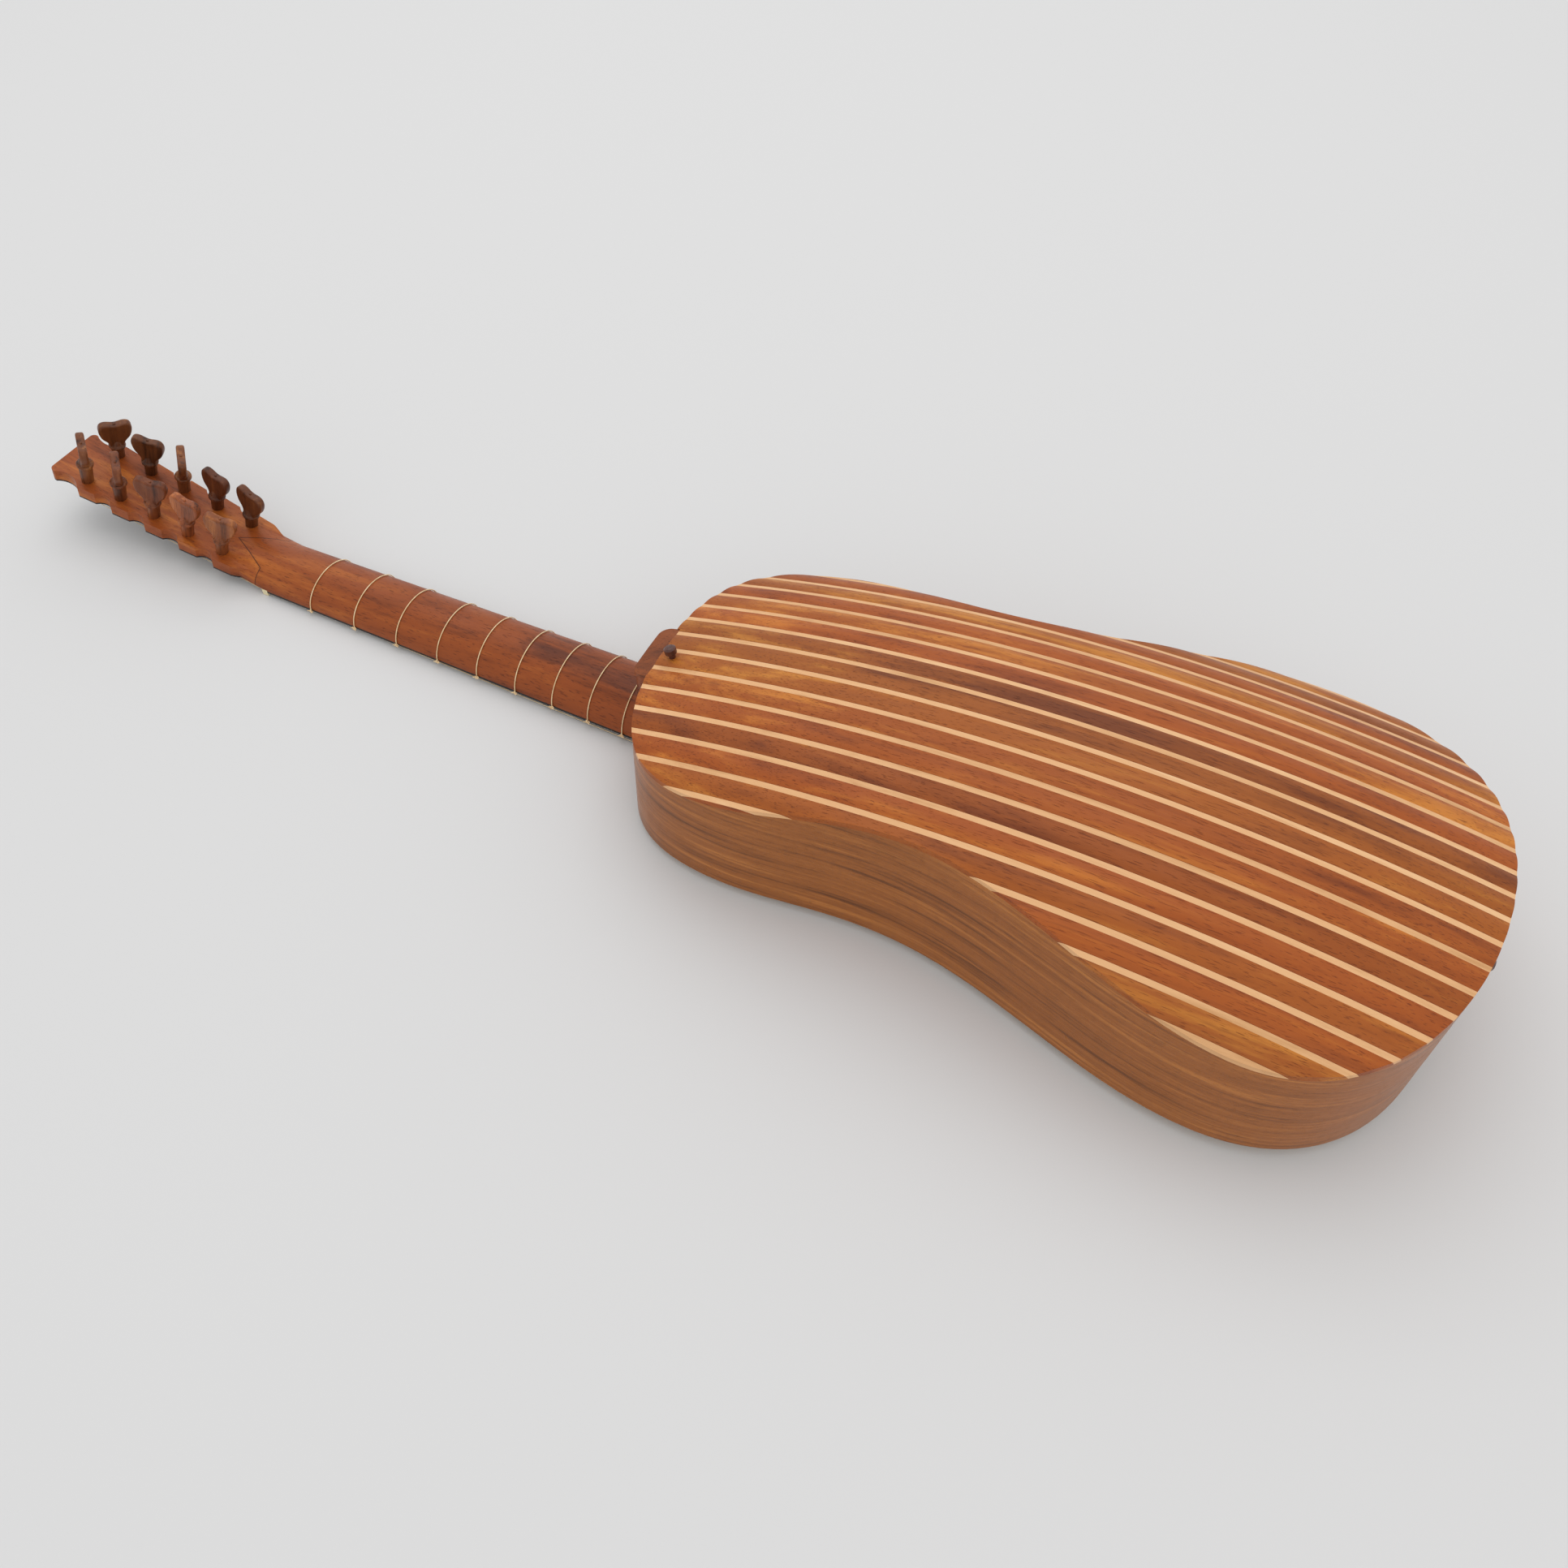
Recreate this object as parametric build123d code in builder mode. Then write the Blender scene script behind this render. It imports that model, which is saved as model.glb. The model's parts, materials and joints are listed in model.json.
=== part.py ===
from build123d import *
import math
import os

# A five-course baroque guitar with a vaulted, striped back, lying face down.
# Sizes are millimetres. Places are given on the board: the plane of the soundboard's
# and fingerboard's playing face, with x from the body's neck end towards the tail,
# y across and z up towards the back. The board lies slightly tilted on a table,
# because the guitar rests on its bridge and its nut.

# Lengths along the board; the bridge's place is where its middle lies on the body
neck_length = 296.0
body_length = 430.4
bridge_at = 384.0

# Body outline
upper_bout = 187.0
waist = 169.6
lower_bout = 238.4
upper_bout_at = 78.3
waist_at = 167.5
lower_bout_at = 339.3

# Vaulted back and its striped covering
vault_height = 103.0
vault_peak_at = 260.0
vault_long_radius = 930.0
vault_cross_radius = 247.0
rib_count = 17
rib_allowance = 7.25
rib_thickness = 2.4
rib_crown = 0.8
spacer_width = 3.0

# Walls and inner work
side_thickness = 2.2
soundboard_thickness = 2.4
lining_width = 6.0
lining_height = 9.0
neck_block_length = 42.0
neck_block_width = 74.0
tail_block_length = 20.0
tail_block_width = 60.0
bar_width = 7.0
bar_height = 15.0
bar_places = [58.0, 200.0, 292.0]

# Soundhole
soundhole_at = 131.0
soundhole_radius = 41.0
rose_border_width = 8.0
rose_border_depth = 0.8
rose_overlap = 5.0
rose_thickness = 0.8

# Neck
neck_width_at_nut = 44.2
neck_width_at_body = 50.6
neck_depth_at_nut = 17.1
neck_depth_at_body = 24.3
fingerboard_thickness = 1.5

# Heel and its cap
heel_width = 39.0
heel_shift = -9.0
heel_reach = 9.0
heel_foot_reach = 15.0
heel_cap_overlap = 2.0
heel_cap_corner = 6.5
heel_squareness = 3.2
heel_root_inset = 1.5

# Nut, strings and bridge
nut_thickness = 4.5
nut_height = 2.6
nut_seat = 2.0
bridge_height = 7.5
bridge_width = 13.0
bridge_length = 104.0
bridge_corner_radius = 2.5
moustache_thickness = 1.2
moustache_length = 27.0
moustache_reach = 20.0
moustache_root_half_width = 5.0
string_drop_at_nut = 1.9
string_drop_at_bridge = 5.0
bass_string_radii = [0.36, 0.36, 0.33, 0.33, 0.30]
treble_string_radii = [0.23, 0.23, 0.26, 0.26, 0.30]
string_spread_at_nut = [19.4, 17.0, 10.2, 7.6, 1.3]
string_spread_at_bridge = [31.6, 28.4, 17.2, 14.0, 1.6]
string_pegs = [4, 0, 1, 2, 3]
string_peg_sides = [1, -1, -1, -1, -1]
string_hole_clearance = 0.10
string_knot_radius = 1.1
string_slot_clearance = 0.12

# Gut frets tied round the neck, and wooden frets on the soundboard
tied_fret_count = 9
tied_fret_travel = 2.0
body_fret_count = 3
fret_gut = 0.9
fret_clearance = 0.12
body_fret_width = 1.4
body_fret_height = 0.9
body_fret_length = 39.0

# Head
head_angle = 10.4
head_length = 185.4
head_thickness = 9.3
head_veneer_thickness = 1.2
head_tooth_half_width = 24.6
head_cove_half_width = 20.8
head_end_half_width = 21.7
head_corner_radius = 3.5
head_shoulder_inset = 5.0
tooth_length = 14.0
tooth_rise = 1.0
tooth_shift = 1.5
cove_shift = 6.0
vee_length = 40.0
vee_shoulder = 10.0
vee_half_width = 15.0
throat_length = 44.0
throat_squareness = 7.0

# Tuning pegs lean a little towards the nut; heights are along their axis from the head's front face
peg_count_per_row = 5
peg_first = 41.5
peg_end_margin = 28.46
peg_row_half_spacing = 15.4
peg_tip = 8.5
peg_front_radius = 3.75
peg_back_radius = 4.1
peg_clearance = 0.05
peg_lean = 6.0
peg_collar_radius = 5.8
peg_collar_height = 2.8
peg_thumb_height = 19.5
peg_thumb_half_width = 11.2
peg_thumb_foot_half_width = 4.9
peg_thumb_thickness = 5.8
spindle_radius = 2.6
spindle_top = 1.2
spindle_foot = 7.0
spindle_flange = 0.6
peg_waist_radius = 3.9
peg_collar_round = 0.8
peg_lobe_height = 11.0
peg_thumb_notch = 1.2
string_to_spindle = 0.9
string_depth_at_peg = 4.0
far_row_turns = [172.0, 174.0, 134.0, 18.0, 52.0]
near_row_turns = [14.0, 2.0, 19.0, 137.0, 139.0]
far_row_shafts = [9.0, 9.5, 11.5, 9.5, 9.0]
near_row_shafts = [11.0, 11.0, 11.5, 13.5, 14.5]

# Strap buttons
button_head_radius = 3.5
button_head_length = 3.0
button_stem_radius = 2.0
button_stem_length = 4.0
button_root_length = 6.0
button_dome = 1.2
button_edge = 1.0
heel_button_at = 10.2
heel_button_y = -13.3
tail_button_height = 46.0

# Where the main stations fall along the board
nut_at = -neck_length
nut_back = nut_at - nut_thickness
string_length = bridge_at - nut_at

# The board's tilt: the bridge's edge and the nut's edge both touch the table
bridge_edge = bridge_at - bridge_width / 2
tilt = math.atan((bridge_height - nut_height) / (bridge_edge - nut_back))
along = (math.cos(tilt), 0, math.sin(tilt))
upward = (-math.sin(tilt), 0, math.cos(tilt))
board_rise = nut_height * math.cos(tilt) - nut_back * math.sin(tilt)

# The row's origin is under the middle of the guitar's length
lean = math.radians(head_angle)
head_end_x = nut_at - head_length * math.cos(lean)
head_end_z = head_length * math.sin(lean)
tail_end_x = body_length + button_stem_length + button_head_length + button_dome
low_end = head_end_x * along[0] - head_end_z * along[2]
tail_end = tail_end_x * along[0] - tail_button_height * along[2]
board = Plane(origin=(-(low_end + tail_end) / 2, 0, board_rise), x_dir=along, z_dir=upward)


def at(x, y, z):
    return board.from_local_coords((x, y, z))


def toward(x, y, z):
    return at(x, y, z) - at(0, 0, 0)


def station(x):
    # a plane across the guitar: its x runs across, its y up towards the back
    return Plane(origin=at(x, 0, 0), x_dir=board.y_dir, z_dir=board.x_dir)


def lengthwise(y):
    # a plane along the guitar: its x runs to the tail, its y up towards the back
    return Plane(origin=at(0, y, 0), x_dir=board.x_dir, z_dir=-board.y_dir)


# The head's front face: x runs from the nut to the free end, z towards the back
head_plane = Plane(
    origin=at(nut_at, 0, 0),
    x_dir=toward(-math.cos(lean), 0, math.sin(lean)),
    z_dir=toward(math.sin(lean), 0, math.cos(lean)),
)


os.makedirs("parts", exist_ok=True)


def keep(piece, label):
    piece.label = label
    export_step(piece, f"parts/{label}.step")


# ---------------------------------------------------------------- shared shapes

def body_outline(inset=0.0):
    # four smooth curves on each side join the widest and narrowest places
    upper = upper_bout / 2 - inset
    narrow = waist / 2 - inset
    lower = lower_bout / 2 - inset
    tail = body_length - inset
    to_waist = waist_at - upper_bout_at
    to_lower = lower_bout_at - waist_at
    to_tail = tail - lower_bout_at
    with BuildSketch() as outline:
        with BuildLine():
            Bezier(
                (inset, 0),
                (inset, 0.71 * upper),
                (inset + 0.25 * (upper_bout_at - inset), upper),
                (upper_bout_at, upper),
            )
            Bezier(
                (upper_bout_at, upper),
                (upper_bout_at + 0.34 * to_waist, upper),
                (waist_at - 0.40 * to_waist, narrow),
                (waist_at, narrow),
            )
            Bezier(
                (waist_at, narrow),
                (waist_at + 0.38 * to_lower, narrow),
                (lower_bout_at - 0.34 * to_lower, lower),
                (lower_bout_at, lower),
            )
            Bezier(
                (lower_bout_at, lower),
                (lower_bout_at + 0.68 * to_tail, lower),
                (tail, 0.565 * lower),
                (tail, 0),
            )
            mirror(about=Plane.XZ)
        make_face()
    return outline.sketch


# The vault is turned about an axis that runs across, far below the guitar
vault_axis = Axis(at(vault_peak_at, 0, vault_height - vault_long_radius), board.y_dir)
vault_half_sweep = 30.0
sweep_start = math.radians(-vault_half_sweep)
vault_profile = Plane(
    origin=vault_axis.position,
    x_dir=board.y_dir,
    z_dir=toward(math.cos(sweep_start), 0, -math.sin(sweep_start)),
)


def vault_point(angle, radius):
    # a point of the vault's cross section, by its angle from the middle and its radius
    rise = vault_long_radius - vault_cross_radius
    return (radius * math.sin(angle), rise + radius * math.cos(angle))


def vault_band(start, stop, inner, outer, crown=0.0):
    # a strip of the vault between two angles and two radii, crowned in its middle
    middle = (start + stop) / 2
    with BuildPart() as band:
        with BuildSketch(vault_profile):
            with BuildLine():
                ThreePointArc(
                    vault_point(start, outer),
                    vault_point(middle, outer + crown),
                    vault_point(stop, outer),
                )
                Line(vault_point(stop, outer), vault_point(stop, inner))
                ThreePointArc(
                    vault_point(stop, inner),
                    vault_point(middle, inner),
                    vault_point(start, inner),
                )
                Line(vault_point(start, inner), vault_point(start, outer))
            make_face()
        revolve(axis=vault_axis, revolution_arc=2 * vault_half_sweep)
    return band.part


# The space under the covering: everything inside the ribs' inner face
vault_reach = math.radians(45.0)
core_floor_radius = 40.0
under_ribs = vault_band(
    -vault_reach, vault_reach, core_floor_radius, vault_cross_radius - rib_thickness
)

# A block tall enough to cut the whole depth of the body
full_depth = vault_height + 20.0


def cap_outline():
    # the heel cap's plan: a rounded tab that laps over the ribs' ends
    bass_side = heel_shift + heel_width / 2
    treble_side = heel_shift - heel_width / 2
    with BuildSketch() as tab:
        with BuildLine():
            Polyline(
                (-heel_reach, bass_side),
                (heel_cap_overlap, bass_side),
                (heel_cap_overlap, treble_side),
                (-heel_reach, treble_side),
                (-heel_reach, bass_side),
            )
        make_face()
        fillet(tab.vertices().group_by(Axis.X)[0], radius=heel_cap_corner)
    return tab.sketch


# ------------------------------------------------------------- back covering

# The heel's strap button stands square on the back, a little to the treble side
cross_rise = vault_long_radius - vault_cross_radius
button_ring = cross_rise + math.sqrt(vault_cross_radius**2 - heel_button_y**2)
button_rise = math.sqrt(button_ring**2 - (heel_button_at - vault_peak_at) ** 2)
heel_button_foot = at(heel_button_at, heel_button_y, vault_height - vault_long_radius + button_rise)
vault_middle = vault_axis.position + toward(0, heel_button_y, 0)
heel_button_plane = Plane(
    origin=heel_button_foot,
    x_dir=board.y_dir,
    z_dir=(heel_button_foot - vault_middle).normalized(),
)


def trimmed_strip(band):
    # a strip of the covering, cut to the outline, round the heel cap and for the button
    with BuildPart() as strip:
        add(band)
        with BuildSketch(board):
            add(body_outline())
        extrude(amount=full_depth, mode=Mode.INTERSECT)
        with BuildSketch(board):
            add(cap_outline())
        extrude(amount=full_depth, mode=Mode.SUBTRACT)
        with BuildSketch(heel_button_plane):
            Circle(button_stem_radius)
        extrude(amount=button_root_length, both=True, mode=Mode.SUBTRACT)
    return strip.part


rib_pitch = (lower_bout + rib_allowance) / rib_count
rib_half_angle = (rib_pitch - spacer_width) / 2 / vault_cross_radius
pitch_angle = rib_pitch / vault_cross_radius
inner_radius = vault_cross_radius - rib_thickness
for number in range(rib_count):
    middle = (number - (rib_count - 1) / 2) * pitch_angle
    band = vault_band(
        middle - rib_half_angle, middle + rib_half_angle, inner_radius, vault_cross_radius, rib_crown
    )
    rib = trimmed_strip(band)
    keep(rib, f"back_rib_{number + 1:02d}")

# Pale spacers lie between the ribs, and the outermost two run out to the edge
edge_margin = 6.0
spacer_half_angle = spacer_width / 2 / vault_cross_radius
with BuildPart() as back_spacers:
    for number in range(rib_count + 1):
        middle = (number - rib_count / 2) * pitch_angle
        start = middle - spacer_half_angle
        stop = middle + spacer_half_angle
        if number == 0:
            start = start - edge_margin / vault_cross_radius
        if number == rib_count:
            stop = stop + edge_margin / vault_cross_radius
        add(trimmed_strip(vault_band(start, stop, inner_radius, vault_cross_radius)))
keep(back_spacers.part, "back_spacers")



# ------------------------------------------------------------------ body walls

tail_button_plane = Plane(
    origin=at(body_length, 0, tail_button_height), x_dir=board.y_dir, z_dir=board.x_dir
)
with BuildPart() as wall:
    with BuildSketch(board):
        add(body_outline())
        add(body_outline(side_thickness), mode=Mode.SUBTRACT)
    extrude(amount=full_depth)
    add(under_ribs, mode=Mode.INTERSECT)
    with BuildSketch(tail_button_plane):
        Circle(button_stem_radius)
    extrude(amount=button_root_length, both=True, mode=Mode.SUBTRACT)

# The two bent sides meet at the tail and behind the heel
for label, kept in [("side_bass", Keep.BOTTOM), ("side_treble", Keep.TOP)]:
    with BuildPart() as side:
        add(wall.part)
        split(bisect_by=lengthwise(0), keep=kept)
    keep(side.part, label)


def inner_block(start, stop, half_width):
    # a glue block between the soundboard and the covering, shaped to the sides
    with BuildPart() as block:
        with BuildSketch(board.offset(soundboard_thickness)):
            add(body_outline(side_thickness))
            with Locations(((start + stop) / 2, 0)):
                Rectangle(stop - start, 2 * half_width, mode=Mode.INTERSECT)
        extrude(amount=full_depth)
        add(under_ribs, mode=Mode.INTERSECT)
        for plane in [heel_button_plane, tail_button_plane]:
            with BuildSketch(plane):
                Circle(button_stem_radius)
            extrude(amount=button_root_length, both=True, mode=Mode.SUBTRACT)
    return block.part


tail_block_start = body_length - side_thickness - tail_block_length
neck_block_end = side_thickness + neck_block_length
keep(inner_block(0, neck_block_end, neck_block_width / 2), "neck_block")
keep(inner_block(tail_block_start, body_length, tail_block_width / 2), "tail_block")

with BuildPart() as linings:
    with BuildSketch(board.offset(soundboard_thickness)):
        add(body_outline(side_thickness))
        add(body_outline(side_thickness + lining_width), mode=Mode.SUBTRACT)
        with Locations((neck_block_end / 2, 0)):
            Rectangle(neck_block_end, neck_block_width, mode=Mode.SUBTRACT)
        with Locations(((tail_block_start + body_length) / 2, 0)):
            Rectangle(body_length - tail_block_start, tail_block_width, mode=Mode.SUBTRACT)
    extrude(amount=lining_height)
keep(linings.part, "linings")

with BuildPart() as soundboard_bars:
    with BuildSketch(board.offset(soundboard_thickness)):
        with Locations([(place, 0) for place in bar_places]):
            Rectangle(bar_width, lower_bout)
        add(body_outline(side_thickness + lining_width), mode=Mode.INTERSECT)
    extrude(amount=bar_height)
keep(soundboard_bars.part, "soundboard_bars")


# ------------------------------------------------------------------- soundboard

rose_outer_radius = soundhole_radius + rose_border_width
with BuildPart() as soundboard:
    with BuildSketch(board):
        add(body_outline(side_thickness))
        with Locations((soundhole_at, 0)):
            Circle(soundhole_radius, mode=Mode.SUBTRACT)
    extrude(amount=soundboard_thickness)
    with BuildSketch(board):
        with Locations((soundhole_at, 0)):
            Circle(rose_outer_radius)
    extrude(amount=rose_border_depth, mode=Mode.SUBTRACT)
keep(soundboard.part, "soundboard")

with BuildPart() as rose_border:
    with BuildSketch(board):
        with Locations((soundhole_at, 0)):
            Circle(rose_outer_radius)
            Circle(soundhole_radius, mode=Mode.SUBTRACT)
    extrude(amount=rose_border_depth)
keep(rose_border.part, "rose_border")

# The rose is a pierced disc glued behind the soundhole
with BuildPart() as soundhole_rose:
    with BuildSketch(board.offset(soundboard_thickness)):
        with Locations((soundhole_at, 0)):
            Circle(soundhole_radius + rose_overlap)
            Circle(soundhole_radius * 0.09, mode=Mode.SUBTRACT)
            for ring, count, hole in [(0.28, 6, 0.10), (0.54, 12, 0.09), (0.80, 18, 0.08)]:
                with PolarLocations(soundhole_radius * ring, count):
                    Circle(soundhole_radius * hole, mode=Mode.SUBTRACT)
    extrude(amount=rose_thickness)
keep(soundhole_rose.part, "soundhole_rose")

with BuildPart() as body_frets:
    for number in range(tied_fret_count + 1, tied_fret_count + body_fret_count + 1):
        fret_at = nut_at + string_length * (1 - 2 ** (-number / 12))
        with BuildSketch(board):
            with Locations((fret_at, 0)):
                Rectangle(body_fret_width, body_fret_length)
        extrude(amount=-body_fret_height)
keep(body_frets.part, "body_frets")


# ------------------------------------------------------------------ neck and heel

def neck_share(x):
    # how far along the neck a station lies: 0 at the nut, 1 at the body
    return (x - nut_at) / neck_length


def neck_half_width(x):
    return (neck_width_at_nut + (neck_width_at_body - neck_width_at_nut) * neck_share(x)) / 2


def neck_depth(x):
    return neck_depth_at_nut + (neck_depth_at_body - neck_depth_at_nut) * neck_share(x)


def round_back(half_width, depth, floor, foot=None):
    # a flat-bottomed section with a round back; a foot adds straight legs below it
    low = floor if foot is None else foot
    with BuildSketch() as section:
        with BuildLine():
            EllipticalCenterArc((0, floor), half_width, depth - floor, arc_size=180)
            if foot is not None:
                Line((-half_width, floor), (-half_width, low))
                Line((half_width, low), (half_width, floor))
            Line((-half_width, low), (half_width, low))
        make_face()
    return section.sketch


def rounded_tab(half_width, reach, squareness):
    # points of a curve that runs round a tab, squarer than an ellipse, from side to side
    points = []
    for step in range(13):
        turn = math.pi * (step / 12 - 0.5)
        out = abs(round(math.cos(turn), 9)) ** (2 / squareness)
        across = math.copysign(abs(math.sin(turn)) ** (2 / squareness), math.sin(turn))
        points.append((reach * out, half_width * across))
    return points


# The neck runs a little way past the body's edge and is cut back to the sides
neck_tail = 6.0
with BuildPart() as neck_shaft:
    for x in [nut_at, neck_tail]:
        with BuildSketch(station(x)):
            add(round_back(neck_half_width(x), neck_depth(x), fingerboard_thickness))
    loft()

# The heel is a stack of rounded tabs, widest at the neck and narrowest at its cap
heel_top = vault_height - vault_long_radius + math.sqrt(vault_long_radius**2 - vault_peak_at**2)
heel_levels = [0.1 * heel_top, 0.33 * heel_top, 0.62 * heel_top, heel_top + rib_thickness]
heel_shares = [1.0, 0.85, 0.4, 0.0]
heel_root_half_width = neck_width_at_body / 2 - heel_root_inset
with BuildPart() as heel:
    for level, share in zip(heel_levels, heel_shares):
        reach = heel_reach + (heel_foot_reach - heel_reach) * share
        half = heel_width / 2 + (heel_root_half_width - heel_width / 2) * share
        middle = heel_shift * (1 - share)
        rim = [(x, middle + across) for x, across in rounded_tab(half, -reach, heel_squareness)]
        with BuildSketch(board.offset(level)):
            with BuildLine():
                Spline(*rim, tangents=[(-1, 0), (1, 0)])
                Polyline(
                    (0, middle + half),
                    (neck_tail, middle + half),
                    (neck_tail, middle - half),
                    (0, middle - half),
                )
            make_face()
    loft()
    add(under_ribs, mode=Mode.INTERSECT)

# The throat blends the neck's round back into the head's flat plate
throat_plane = Plane(
    origin=head_plane.from_local_coords((throat_length, 0, 0)),
    x_dir=board.y_dir,
    z_dir=-head_plane.x_dir,
)
throat_floor = head_veneer_thickness / math.cos(lean)
head_wood_thickness = head_thickness - head_veneer_thickness
throat_leg = 2 * head_veneer_thickness
throat_rise = head_thickness - throat_leg
with BuildPart() as throat:
    with BuildSketch(station(nut_at)):
        add(
            round_back(
                neck_width_at_nut / 2,
                neck_depth_at_nut,
                fingerboard_thickness,
                foot=throat_floor,
            )
        )
    with BuildSketch(throat_plane):
        with BuildLine():
            rim = rounded_tab(head_cove_half_width, throat_rise, throat_squareness)
            Spline(
                *[(across, throat_leg + up) for up, across in reversed(rim)],
                tangents=[(0, 1), (0, -1)],
            )
            Polyline(
                (-head_cove_half_width, throat_leg),
                (-head_cove_half_width, head_veneer_thickness),
                (head_cove_half_width, head_veneer_thickness),
                (head_cove_half_width, throat_leg),
            )
        make_face()
    loft()


peg_pitch = (head_length - peg_first - peg_end_margin) / (peg_count_per_row - 1)
peg_stations = [peg_first + peg_pitch * number for number in range(peg_count_per_row)]
shoulder_half_width = neck_width_at_nut / 2 - head_shoulder_inset


def head_outline():
    # one tooth stands beside each peg, and a cove sweeps from its sharp corner to the next
    tooth_start_half = head_tooth_half_width - tooth_rise
    first = peg_stations[0] + tooth_shift - tooth_length
    with BuildSketch() as outline:
        with BuildLine():
            Line((vee_shoulder, 0), (vee_shoulder, shoulder_half_width))
            Spline(
                (vee_shoulder, shoulder_half_width),
                (first, tooth_start_half),
                tangents=[(1, 0.1), (1, 0.3)],
            )
            for place in peg_stations:
                corner = place + tooth_shift
                tooth_end = (corner, head_tooth_half_width)
                Line((corner - tooth_length, tooth_start_half), tooth_end)
                reached = (corner + peg_pitch - tooth_length, tooth_start_half)
                if place == peg_stations[-1]:
                    reached = (head_length - 1.2 * head_corner_radius, head_end_half_width)
                ThreePointArc(tooth_end, (place + cove_shift, head_cove_half_width), reached)
            end_corner = (head_length, head_end_half_width)
            FilletPolyline(reached, end_corner, (head_length, 0), radius=head_corner_radius)
            mirror(about=Plane.XZ)
        make_face()
    return outline.sketch


with BuildPart() as head_blank:
    with BuildSketch(head_plane.offset(head_veneer_thickness)):
        add(head_outline())
    extrude(amount=head_wood_thickness)
    add(throat.part)

# The neck's vee-shaped tongue is let into the head
with BuildSketch() as vee:
    with BuildLine():
        Polyline(
            (vee_length, 0),
            (vee_shoulder, vee_half_width),
            (vee_shoulder, neck_width_at_nut),
            (-vee_length, neck_width_at_nut),
            (-vee_length, -neck_width_at_nut),
            (vee_shoulder, -neck_width_at_nut),
            (vee_shoulder, -vee_half_width),
            (vee_length, 0),
        )
    make_face()

with BuildPart() as neck:
    add(head_blank.part)
    with BuildSketch(head_plane):
        add(vee.sketch)
    extrude(amount=neck_depth_at_body * 2, both=True, mode=Mode.INTERSECT)
    add(neck_shaft.part)
    add(heel.part)
    with BuildSketch(board):
        add(body_outline())
    extrude(amount=full_depth, mode=Mode.SUBTRACT)
    with BuildSketch(board.offset(nut_seat)):
        with Locations((nut_at - nut_thickness / 2, 0)):
            Rectangle(nut_thickness, neck_width_at_nut * 2)
    extrude(amount=-nut_seat * 2, mode=Mode.SUBTRACT)
keep(neck.part, "neck")

cap_half_angle = (heel_width + abs(heel_shift)) / vault_cross_radius
with BuildPart() as heel_cap:
    add(vault_band(-cap_half_angle, cap_half_angle, inner_radius, vault_cross_radius))
    with BuildSketch(board):
        add(cap_outline())
    extrude(amount=full_depth, mode=Mode.INTERSECT)
keep(heel_cap.part, "heel_cap")

with BuildPart() as fingerboard:
    with BuildSketch(board):
        with BuildLine():
            Polyline(
                (nut_at, neck_half_width(nut_at)),
                (neck_tail, neck_half_width(neck_tail)),
                (neck_tail, -neck_half_width(neck_tail)),
                (nut_at, -neck_half_width(nut_at)),
                (nut_at, neck_half_width(nut_at)),
            )
        make_face()
        add(body_outline(), mode=Mode.SUBTRACT)
    extrude(amount=fingerboard_thickness)
keep(fingerboard.part, "fingerboard")


# ------------------------------------------------------------------------- head

def peg_radius(height):
    # the shaft tapers evenly through the head's thickness
    return peg_front_radius + (peg_back_radius - peg_front_radius) * height / head_thickness


# Each peg has its own plane: z up its axis, x and y along the head's own directions
peg_tilt = math.radians(peg_lean)
peg_up = head_plane.z_dir * math.cos(peg_tilt) - head_plane.x_dir * math.sin(peg_tilt)
pegs = []
for row, turns, shafts in [
    (-1, far_row_turns, far_row_shafts),
    (1, near_row_turns, near_row_shafts),
]:
    for number, place in enumerate(peg_stations):
        pierced = place + head_thickness * math.tan(peg_tilt)
        front = head_plane.from_local_coords((pierced, row * peg_row_half_spacing, 0))
        seat = Plane(origin=front, x_dir=head_plane.y_dir.cross(peg_up), z_dir=peg_up)
        pegs.append((seat, turns[number], shafts[number]))
hole_depth = head_thickness * 2
hole_start = -head_thickness / 2

with BuildPart() as peg_bores:
    with Locations([seat.offset(hole_start) for seat, turn, shaft in pegs]):
        Cone(
            peg_radius(hole_start) + peg_clearance,
            peg_radius(hole_start + hole_depth) + peg_clearance,
            hole_depth,
            align=(Align.CENTER, Align.CENTER, Align.MIN),
        )

with BuildPart() as head:
    add(head_blank.part)
    with BuildSketch(head_plane):
        add(vee.sketch)
    extrude(amount=neck_depth_at_body * 2, both=True, mode=Mode.SUBTRACT)
    add(peg_bores.part, mode=Mode.SUBTRACT)
keep(head.part, "head")

veneer_lap = 1.0
with BuildPart() as head_veneer:
    with BuildSketch(head_plane):
        add(head_outline())
        with BuildLine():
            Polyline(
                (0, neck_width_at_nut / 2),
                (vee_shoulder + veneer_lap, shoulder_half_width),
                (vee_shoulder + veneer_lap, -shoulder_half_width),
                (0, -neck_width_at_nut / 2),
                (0, neck_width_at_nut / 2),
            )
        make_face()
    extrude(amount=head_veneer_thickness)
    add(peg_bores.part, mode=Mode.SUBTRACT)
    with BuildSketch(board):
        with Locations((nut_at, 0)):
            Rectangle(2 * nut_thickness, neck_width_at_nut * 2)
    extrude(amount=nut_seat * 2, both=True, mode=Mode.SUBTRACT)
keep(head_veneer.part, "head_veneer")


# ------------------------------------------------------------------------- pegs

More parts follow.
